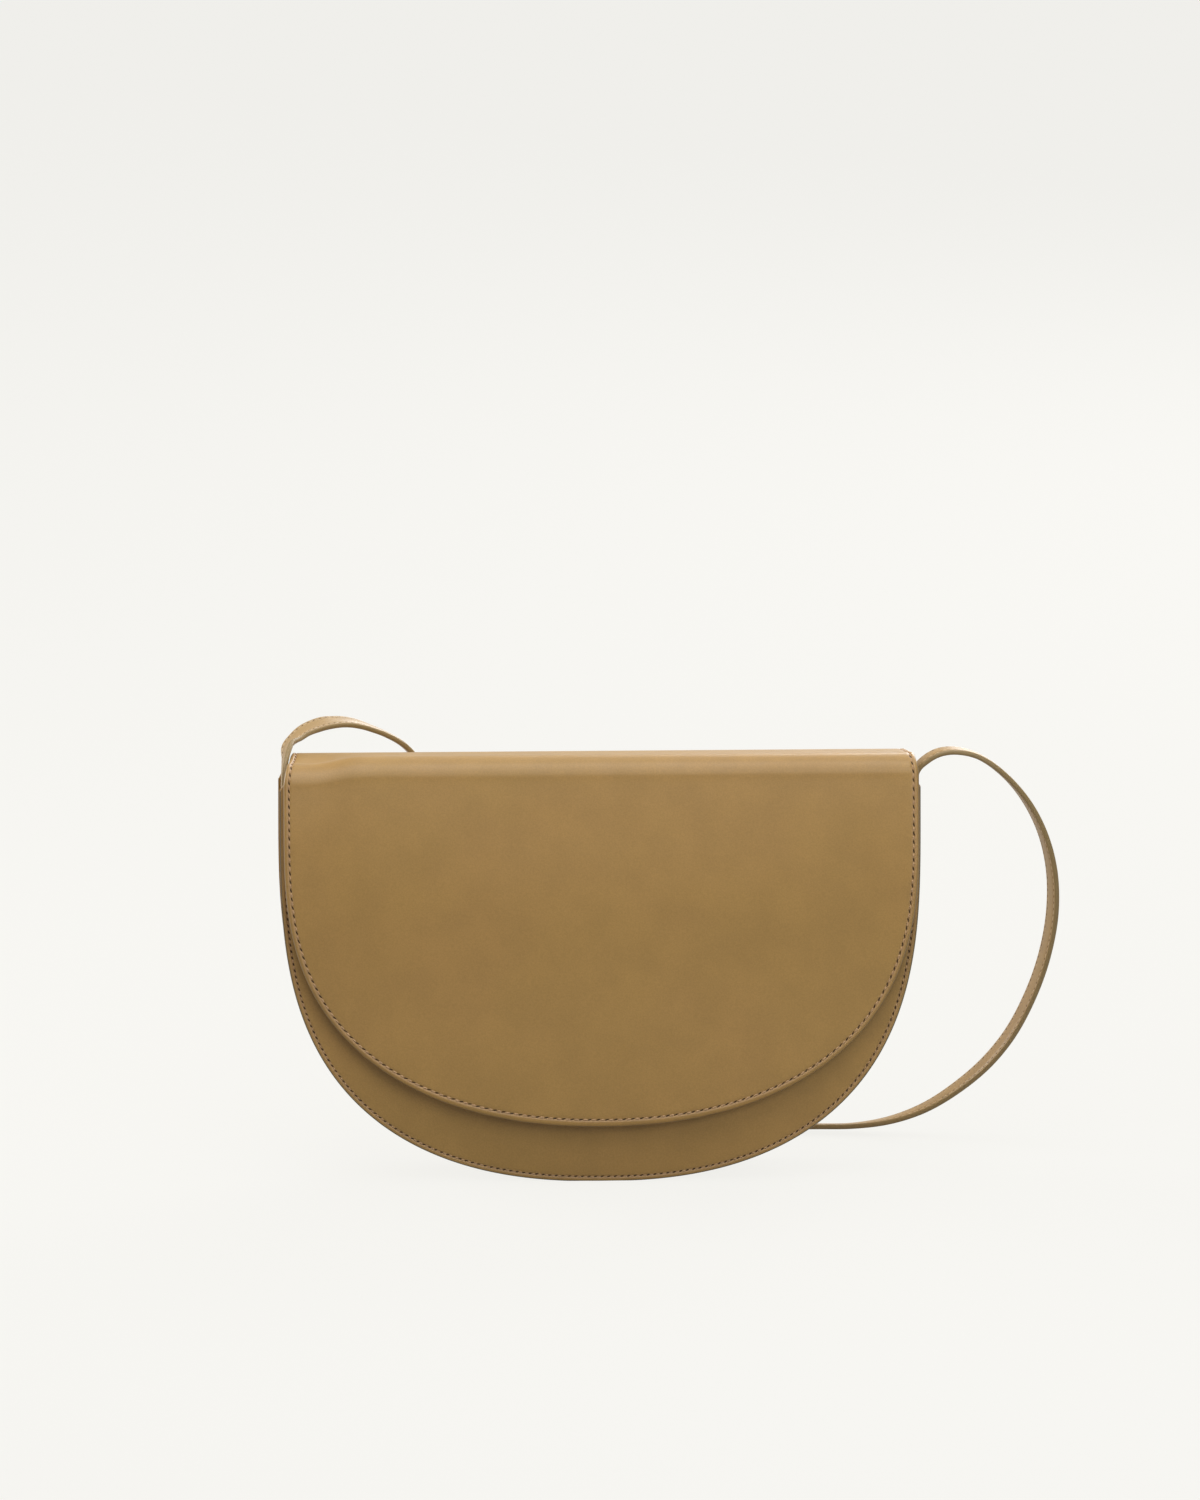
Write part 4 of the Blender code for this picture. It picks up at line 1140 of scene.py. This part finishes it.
def build_flap_seams():
    """The thread round the flap, on its face and on its lining."""
    count = FLAP_EDGE.length / FLAP_PITCH
    middle = FOLD.middle_run / FLAP_PITCH
    end = (FOLD.length - TAB_SEAM_END) / FLAP_PITCH
    front = np.arange(math.ceil(-middle), math.floor(count + middle) + 1) * FLAP_PITCH
    stitches = flap_stitches(front, FLAP_THREAD_DEPTH) + flap_stitches(front, FLAP_UNDER_DEPTH, -1)
    piece = sew("flap_front_thread", FLAP_STITCH, stitches, FLAP_SLANT, SEWING_TAN)
    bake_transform(piece)
    left = -np.arange(math.ceil(middle), math.floor(end) + 1) * FLAP_PITCH
    right = np.arange(math.ceil(count + middle), math.floor(count + end) + 1) * FLAP_PITCH
    stitches = flap_stitches(np.concatenate((left, right)), FLAP_THREAD_DEPTH)
    piece = sew("flap_rear_thread", FLAP_STITCH, stitches, FLAP_SLANT, SEWING_TAN)
    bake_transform(piece)
    across = np.arange(-TAB_STITCHES, TAB_STITCHES + 1) * FLAP_PITCH
    stitches = stitches_along(tab_place, across, FLAP_REACH, SEAM_INSET * MM, -1)
    piece = sew("tab_thread", FLAP_STITCH, stitches, FLAP_SLANT, SEWING_TAN)
    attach(piece, "bag_body")


# Lining, facings and pocket


def quiet_wave(x, z, side):
    """Slack of the inner cloth, in metres towards the room inside."""
    wave = np.sin(x * 38 + side) * np.sin(z * 52 - x * 9) + 0.6 * np.sin(x * 81 - z * 27 + side)
    return (0.35 + 0.22 * wave) * MM * (1 - ease(z, *SLACK_HEIGHTS))


def facing_half(z):
    """Half width of the body inside its seam at a height."""
    outline = body_outline(MOUTH_HEIGHT, INNER_INSET)
    right = outline.x >= 0
    return np.interp(z, outline.z[right], outline.x[right])


def facing_place(surface):
    """Gives the place on a facing at a distance across it, above the seam near its low edge."""
    def place(across, inset):
        z = FACING_LOW + FACING_SEAM_RISE + inset
        return np.stack((across, surface(across, z, LINING_DEPTH + FACING_WALL), z), axis=-1)
    return place


def build_inner_side(side, surface, sign):
    """Lining and facing of one side of the bag."""
    outline = body_outline(FACING_LOW - GAP, INNER_INSET)
    skins = [
        moon_layer(outline, profile, surface, LINING_DEPTH, lambda x, z: quiet_wave(x, z, sign))
        for profile in plain_profile(LINING_WALL / MM)
    ]
    if sign < 0:
        skins = [skin[:, ::-1] for skin in skins]
    piece = two_skins(side + "_inner_cloth", *skins, LINING_CLOTH)
    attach(piece, "bag_body")
    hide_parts(side + "_lining")
    skins = band_skins(
        surface, facing_half, FACING_LOW, MOUTH_HEIGHT, LINING_DEPTH, FACING_WALL, FACING_COLUMNS)
    piece = two_skins(side + "_facing_leather", *skins, FACING_LEATHER)
    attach(piece, "bag_body")
    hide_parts(side + "_facing")
    across = np.arange(-FACING_STITCHES, FACING_STITCHES + 1) * STRAP_PITCH
    stitches = stitches_along(facing_place(surface), across, STRAP_REACH, sign=-sign)
    piece = sew(side + "_facing_thread", STRAP_STITCH, stitches, FACING_SLANT, SEWING_PALE)
    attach(piece, "bag_body")


def pocket_half(z):
    """Half width of the pocket."""
    return np.full_like(z, POCKET_WIDTH / 2)


def pocket_gape(x, z):
    """How far the pocket's cloth stands off: it gapes a little at its top."""
    middle = 1 - np.minimum(1, np.abs(x) / (POCKET_WIDTH / 2)) ** 2
    return quiet_wave(x, z, -1) + POCKET_GAPE * middle * ease(z, 95 * MM, POCKET_HIGH)


POCKET_SEAM_DROP = POCKET_HIGH - POCKET_LOW - POCKET_TRIM_HEIGHT - POCKET_SEAM_INSET
POCKET_SEAM_WIDTH = POCKET_WIDTH - 2 * POCKET_SEAM_INSET


def pocket_place(run, inset):
    """The place on the pocket's seam: down its left side, along its foot, up its right side."""
    foot = run - POCKET_SEAM_DROP
    low = POCKET_LOW + POCKET_SEAM_INSET
    on_left, on_right = foot < 0, foot > POCKET_SEAM_WIDTH
    x = np.clip(foot, 0, POCKET_SEAM_WIDTH) - POCKET_SEAM_WIDTH / 2
    x = x + np.where(on_left, inset, np.where(on_right, -inset, 0))
    z = low + np.where(on_left, -foot, np.where(on_right, foot - POCKET_SEAM_WIDTH, inset))
    return np.stack((x, back_y(x, z, POCKET_DEPTH + LINING_WALL + pocket_gape(x, z)), z), axis=-1)


def build_pocket():
    """The slip pocket on the back lining, its leather trim and its seams."""
    skins = band_skins(
        back_y, pocket_half, POCKET_LOW, POCKET_HIGH, POCKET_DEPTH, LINING_WALL,
        POCKET_COLUMNS, pocket_gape)
    piece = two_skins("pocket_cloth", *skins, LINING_CLOTH)
    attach(piece, "bag_body")
    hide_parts("slip_pocket")
    skins = band_skins(
        back_y, pocket_half, POCKET_HIGH - POCKET_TRIM_HEIGHT, POCKET_HIGH, POCKET_TRIM_DEPTH,
        POCKET_TRIM_WALL, POCKET_COLUMNS, pocket_gape)
    piece = two_skins("pocket_trim_leather", *skins, FACING_LEATHER)
    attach(piece, "bag_body")
    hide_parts("slip_pocket_trim")
    total = 2 * POCKET_SEAM_DROP + POCKET_SEAM_WIDTH
    runs = np.arange(1, math.floor(total / POCKET_PITCH)) * POCKET_PITCH
    stitches = stitches_along(pocket_place, runs, POCKET_REACH)
    piece = sew("pocket_thread", CLOTH_STITCH, stitches, 0.0, SEWING_PALE)
    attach(piece, "bag_body")


def strip_round(count):
    """Runs along the body's edge, their places and their directions inwards, as columns."""
    runs = np.linspace(0, BODY_EDGE.length, count + 1)
    return [values[:, None] for values in (runs, *BODY_EDGE.at(runs), *BODY_EDGE.inward(runs))]


def build_gusset_lining():
    """The cloth strip inside the gusset."""
    runs, x, z, in_x, in_z = strip_round(GUSSET_LINING_STEPS)
    share = np.array((-1, -0.985, -0.9, -0.7, -0.45, -0.2, 0, 0.2, 0.45, 0.7, 0.9, 0.985, 1))
    soften = np.array((0.3, 0.05) + (0,) * 9 + (0.05, 0.3)) * LINING_WALL
    reach = half_depth(np.maximum(z, 0)) - GUSSET_LINING_CLEAR
    pull = GUSSET_PULL * (0.6 + 0.4 * np.sin(runs * 70) * np.sin(runs * 31 + 1))
    skins = []
    for level in (soften, LINING_WALL - soften):
        level = GUSSET_LINING_INSET + level + pull * (1 - share ** 2)
        skins.append(np.stack(
            (x + in_x * level, BODY_SHIFT + reach * share, z + in_z * level), axis=-1))
    piece = two_skins("gusset_inner_cloth", *skins, LINING_CLOTH)
    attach(piece, "bag_body")
    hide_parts("gusset_lining")


# Body


def build_panels():
    """The crowned outer panels with their stitched, painted edges."""
    for side, surface, name in ((1, front_y, "front_panel"), (-1, back_y, "back_panel")):
        skins = []
        for profile in (CUT_FACE, CUT_BACK):
            insets, depths = profile_sizes(profile)
            insets = insets * PANEL_SEAM_SHARE
            grid = moon_places(BODY_EDGE, insets, even, SIDE_ROWS, BASE_COLUMNS)
            depth = ring_depths(depths, SIDE_ROWS, BASE_COLUMNS)
            x, z = grid[..., 0], np.maximum(grid[..., 1], 0)
            wave = np.sin(x * 33 + z * 17 + side) * np.sin(z * 41 - x * 11) * 0.25 * MM
            wave = wave * ease(grid[..., 3], 2 * MM, 9 * MM) * (depth < 1 * MM)
            y = surface(x, z, depth) + side * wave
            skins.append(np.stack((x, y, round_corner(x, z)), axis=-1))
        seam_inset = SEAM_INSET * MM * PANEL_SEAM_SHARE
        seam = seam_places(grid[..., 2], PANEL_PITCH, grid[..., 3], seam_inset)
        if side < 0:
            skins = [skin[:, ::-1] for skin in skins]
            seam = seam[:, ::-1]
        piece = two_skins(name + "_leather", *skins, PANEL_LEATHER, seam)
        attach(piece, "bag_body")
        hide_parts(name)


def panel_place(surface):
    """Gives the place on a panel at a run along its edge and an inset from it."""
    def place(run, inset):
        x, z = BODY_EDGE.inside(run, inset)
        return np.stack((x, surface(x, z, PANEL_THREAD_DEPTH), round_corner(x, z)), axis=-1)
    return place


def build_panel_seams():
    """The thread round both panels."""
    runs = np.arange(2, math.floor(BODY_EDGE.length / PANEL_PITCH) - 1) * PANEL_PITCH
    inset = SEAM_INSET * PANEL_SEAM_SHARE * MM
    stitches = []
    for surface, sign in ((front_y, 1), (back_y, -1)):
        stitches += stitches_along(panel_place(surface), runs, PANEL_REACH, inset, sign)
    piece = sew("panel_thread", PANEL_STITCH, stitches, PANEL_SLANT, SEWING_TAN)
    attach(piece, "bag_body")


def arc(centre_inset, centre_y, radius, start, steps=6):
    """Quarter bend of the gusset's section round a centre, from a start angle."""
    angles = start + np.linspace(0, math.pi / 2, steps)
    return [(centre_inset + radius * math.cos(a), centre_y + radius * math.sin(a)) for a in angles]


def gusset_section(reach, pull):
    """The gusset's section as (inset, y): the face towards the outside, and the inner face."""
    bend_inset = FLANGE_WIDTH - FLANGE_BEND
    bend_y = reach - GUSSET_WALL - FLANGE_BEND
    wide = FLANGE_BEND + GUSSET_WALL
    face = reach - GUSSET_WALL
    web = np.linspace(-bend_y, bend_y, 15)[1:-1]
    sides = []
    for flange_y, radius, sink in ((face, FLANGE_BEND, pull), (reach, wide, 0)):
        section = [(0, -flange_y), (bend_inset / 2, -flange_y)]
        section += arc(bend_inset, -bend_y, radius, -math.pi / 2)
        section += [(bend_inset + radius - sink * (1 - (y / bend_y) ** 2), y) for y in web]
        section += arc(bend_inset, bend_y, radius, 0)
        sides.append(section + [(bend_inset / 2, flange_y), (0, flange_y)])
    return sides


def build_gusset():
    """The gusset: a soft strip between the panels, its flanges turned out and sewn."""
    runs, x, z, in_x, in_z = strip_round(GUSSET_STEPS)
    reach = half_depth(np.maximum(z, 0)) - PANEL_WALL - GAP
    pull = GUSSET_PULL + GUSSET_WAVE * np.sin(runs * 55) * np.sin(runs * 23 + 1)
    sections = [gusset_section(*sizes) for sizes in zip(reach[:, 0], pull[:, 0])]
    skins = []
    for inset, y in np.array(sections).transpose(1, 3, 0, 2):
        across = x + in_x * inset
        height = np.maximum(0, z + in_z * inset)
        skins.append(np.stack((across, BODY_SHIFT + y, round_corner(across, height)), axis=-1))
    piece = two_skins("gusset_leather", *skins, GUSSET_LEATHER)
    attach(piece, "bag_body")
    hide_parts("gusset")


# Strap


def smooth_route(route, steps):
    """Run a rounded curve through a route's points, each with its roll."""
    points = np.array(route, dtype=float)
    chords = np.linalg.norm(np.diff(points[:, :3], axis=0), axis=1)
    slopes = np.diff(points, axis=0) / chords[:, None]
    weights = (chords[1:] / (chords[1:] + chords[:-1]))[:, None]
    middle = slopes[:-1] * weights + slopes[1:] * (1 - weights)
    tangents = np.vstack((slopes[:1], middle, slopes[-1:]))
    curve = [points[0]]
    for i, chord in enumerate(chords):
        for share in np.linspace(0, 1, steps + 1)[1:]:
            near = (1 + 2 * share) * (1 - share) ** 2
            far = share ** 2 * (3 - 2 * share)
            leave = share * (1 - share) ** 2 * chord
            arrive = share ** 2 * (share - 1) * chord
            point = near * points[i] + far * points[i + 1]
            curve.append(point + leave * tangents[i] + arrive * tangents[i + 1])
    return np.array(curve)


class StrapLine:
    """Even places along the strap with its own directions: ahead, across and out."""

    def __init__(self, step):
        curve = smooth_route(STRAP_ROUTE, 12)
        steps = np.linalg.norm(np.diff(curve[:, :3], axis=0), axis=1)
        along = np.concatenate(([0], np.cumsum(steps)))
        self.length = along[-1]
        self.marks = np.linspace(0, self.length, round(self.length / step) + 1)
        line = np.column_stack([np.interp(self.marks, along, column) for column in curve.T])
        self.places = line[:, :3]
        ahead = np.gradient(self.places, axis=0)
        for _ in range(3):
            ahead[1:-1] = (ahead[:-2] + 2 * ahead[1:-1] + ahead[2:]) / 4
        ahead /= np.linalg.norm(ahead, axis=1)[:, None]
        across = np.array((0, 1, 0)) - ahead * ahead[:, 1:2]
        across /= np.linalg.norm(across, axis=1)[:, None]
        out = np.cross(ahead, across)
        roll = np.radians(line[:, 3])[:, None]
        self.wide = across * np.cos(roll) + out * np.sin(roll)
        self.thick = out * np.cos(roll) - across * np.sin(roll)

    def at(self, run, aside, height):
        """Places at runs along the strap, aside from its middle line and above it."""
        place, wide, thick = (
            np.column_stack([np.interp(run, self.marks, column) for column in values.T])
            for values in (self.places, self.wide, self.thick))
        return place + wide * aside[:, None] + thick * height


def build_strap():
    """The flat strap of two leather layers, sewn along both edges."""
    line = StrapLine(STRAP_STEP)
    half = list(STRAP_CORNER) + [(0, STRAP_THICKNESS / 2 / MM)]
    half += [(-across, height) for across, height in STRAP_CORNER[::-1]]
    section = half + [(-across, -height) for across, height in half]
    section = np.array(section + section[:1]) * MM
    rings = (
        line.places[:, None, :] + section[None, :, :1] * line.wide[:, None, :]
        + section[None, :, 1:] * line.thick[:, None, :]
    )
    seam = np.zeros(rings.shape)
    seam[..., 0] = line.marks[:, None] / STRAP_PITCH
    seam[..., 1] = np.abs(np.abs(section[:, 0]) - STRAP_SEAM_ASIDE) / MM
    seam[..., 2] = (STRAP_WIDTH / 2 - np.abs(section[:, 0])) / MM
    piece = add_grid("strap_leather", rings.shape[0] - 1, rings.shape[1] - 1)
    write_points(piece.data, rings, seam)
    bpy.ops.object.mode_set(mode="EDIT")
    bpy.ops.mesh.select_all(action="SELECT")
    bpy.ops.mesh.remove_doubles(threshold=TINY)
    bpy.ops.mesh.select_all(action="DESELECT")
    bpy.ops.mesh.select_non_manifold()
    bpy.ops.mesh.fill_holes(sides=0)
    bpy.ops.mesh.select_all(action="SELECT")
    bpy.ops.mesh.normals_make_consistent(inside=False)
    bpy.ops.object.mode_set(mode="OBJECT")
    bpy.ops.object.shade_smooth_by_angle(angle=math.radians(STRAP_SMOOTH_ANGLE))
    piece.data.materials.append(STRAP_LEATHER)
    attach(piece, "bag_body")
    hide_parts("strap")
    return piece, line


def strap_place(line, aside, height):
    """Gives the place of a seam on the strap, aside from its middle line and above it."""
    def place(run, inset):
        return line.at(run, aside + inset, height)
    return place


def build_strap_seams(line):
    """The thread along both edges of the strap, on both its faces."""
    runs = np.arange(1, math.floor(line.length / STRAP_PITCH)) * STRAP_PITCH
    stitches = []
    for aside in (-STRAP_SEAM_ASIDE, STRAP_SEAM_ASIDE):
        for face in (-1, 1):
            place = strap_place(line, aside, face * STRAP_THREAD_HEIGHT)
            stitches += stitches_along(place, runs, STRAP_REACH, sign=face)
    piece = sew("strap_thread", STRAP_STITCH, stitches, 0.0, SEWING_PALE)
    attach(piece, "bag_body")
    return piece


# Stage


def put(name, data):
    """Put a new camera or lamp in the scene."""
    thing = bpy.data.objects.new(name, data)
    bpy.context.scene.collection.objects.link(thing)
    return thing


def build_camera():
    """The camera that sees the bag as the photograph does."""
    right = Vector((math.cos(CAMERA_TURN), math.sin(CAMERA_TURN), 0))
    level = Vector((-math.sin(CAMERA_TURN), math.cos(CAMERA_TURN), 0))
    back = -level * math.cos(CAMERA_TILT) + Vector((0, 0, math.sin(CAMERA_TILT)))
    aim = right * CAMERA_ASIDE + Vector((0, 0, CAMERA_HEIGHT))
    data = bpy.data.cameras.new("camera")
    data.sensor_width = SENSOR
    data.lens = CAMERA_DISTANCE * SENSOR / (PIXEL * IMAGE_HEIGHT)
    data.clip_end = 100
    camera = put("camera", data)
    camera.location = aim + back * CAMERA_DISTANCE
    camera.rotation_euler = back.to_track_quat("Z", "Y").to_euler()
    bpy.context.scene.camera = camera


def add_lamp(name, place, aim, size, power, tint):
    """A square soft lamp that points at a place."""
    data = bpy.data.lights.new(name, "AREA")
    data.shape = "RECTANGLE"
    data.size, data.size_y = size
    data.energy = power
    data.color = tint
    lamp = put(name, data)
    lamp.location = place
    lamp.rotation_euler = (Vector(place) - Vector(aim)).to_track_quat("Z", "Y").to_euler()


def build_floor():
    """A pale floor that keeps the bag's shadow, but bounces less light than the camera sees."""
    deselect()
    bpy.ops.mesh.primitive_plane_add(size=FLOOR_SIZE, location=(0, 0, FLOOR_DROP))
    floor = bpy.context.object
    floor.name = "floor"
    material, shader, tree = new_material("pale_floor", 0.9, specular=0.1)
    surface = tree.tree.nodes["Material Output"].inputs[0]
    glow = tree.node("ShaderNodeEmission", (("Color", PALE_SKY), ("Strength", 1)))
    rays = tree.node("ShaderNodeLightPath").outputs
    seen = rays["Is Camera Ray"]
    tree.join(tree.mix(seen, FLOOR_BOUNCE, PALE_FLOOR), shader.inputs["Base Color"])
    share = tree.maths("MULTIPLY", rays["Is Glossy Ray"], FLOOR_MIRRORED)
    share = tree.maths("MULTIPLY_ADD", seen, FLOOR_SEEN, share)
    both = tree.node("ShaderNodeMixShader", (
        (0, share), (1, shader.outputs[0]), (2, glow.outputs[0])))
    tree.join(both.outputs[0], surface)
    floor.data.materials.append(material)


def build_sky():
    """A pale sky for the camera, dimmer where it lights the bag."""
    world = bpy.data.worlds.new("sky")
    world.use_nodes = True
    bpy.context.scene.world = world
    tree = Tree(world.node_tree)
    sky = world.node_tree.nodes["Background"]
    rays = tree.node("ShaderNodeLightPath").outputs
    strength = tree.maths("MULTIPLY_ADD", rays["Is Camera Ray"], SKY_SEEN, SKY_LIGHT)
    strength = tree.maths("MULTIPLY_ADD", rays["Is Glossy Ray"], SKY_MIRRORED, strength)
    sky.inputs["Color"].default_value = PALE_SKY
    tree.join(strength, sky.inputs["Strength"])
    bpy.context.scene.view_settings.view_transform = "Standard"


# Making

build_camera()
strap, strap_line = build_strap()
strap_seam = build_strap_seams(strap_line)
build_panels()
build_panel_seams()
build_gusset()
build_gusset_lining()
build_inner_side("front", front_y, 1)
build_inner_side("back", back_y, -1)
build_pocket()
build_flap_front()
build_flap_rear()
build_flap_board()
build_flap_lining()
build_flap_seams()

NODE_SKINS = (
    (STIFF_BOARD, ("front_board", "back_board", "strap_backer_left", "strap_backer_right")),
    (PALE_BRASS, (
        "magnet_socket", "magnet_socket_washer", "magnet_stud", "magnet_stud_washer")),
)
for skin, nodes in NODE_SKINS:
    for node in nodes:
        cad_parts[node].data.materials.clear()
        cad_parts[node].data.materials.append(skin)

build_floor()
for lamp in LAMPS:
    add_lamp(*lamp)
build_sky()
bpy.context.view_layer.update()
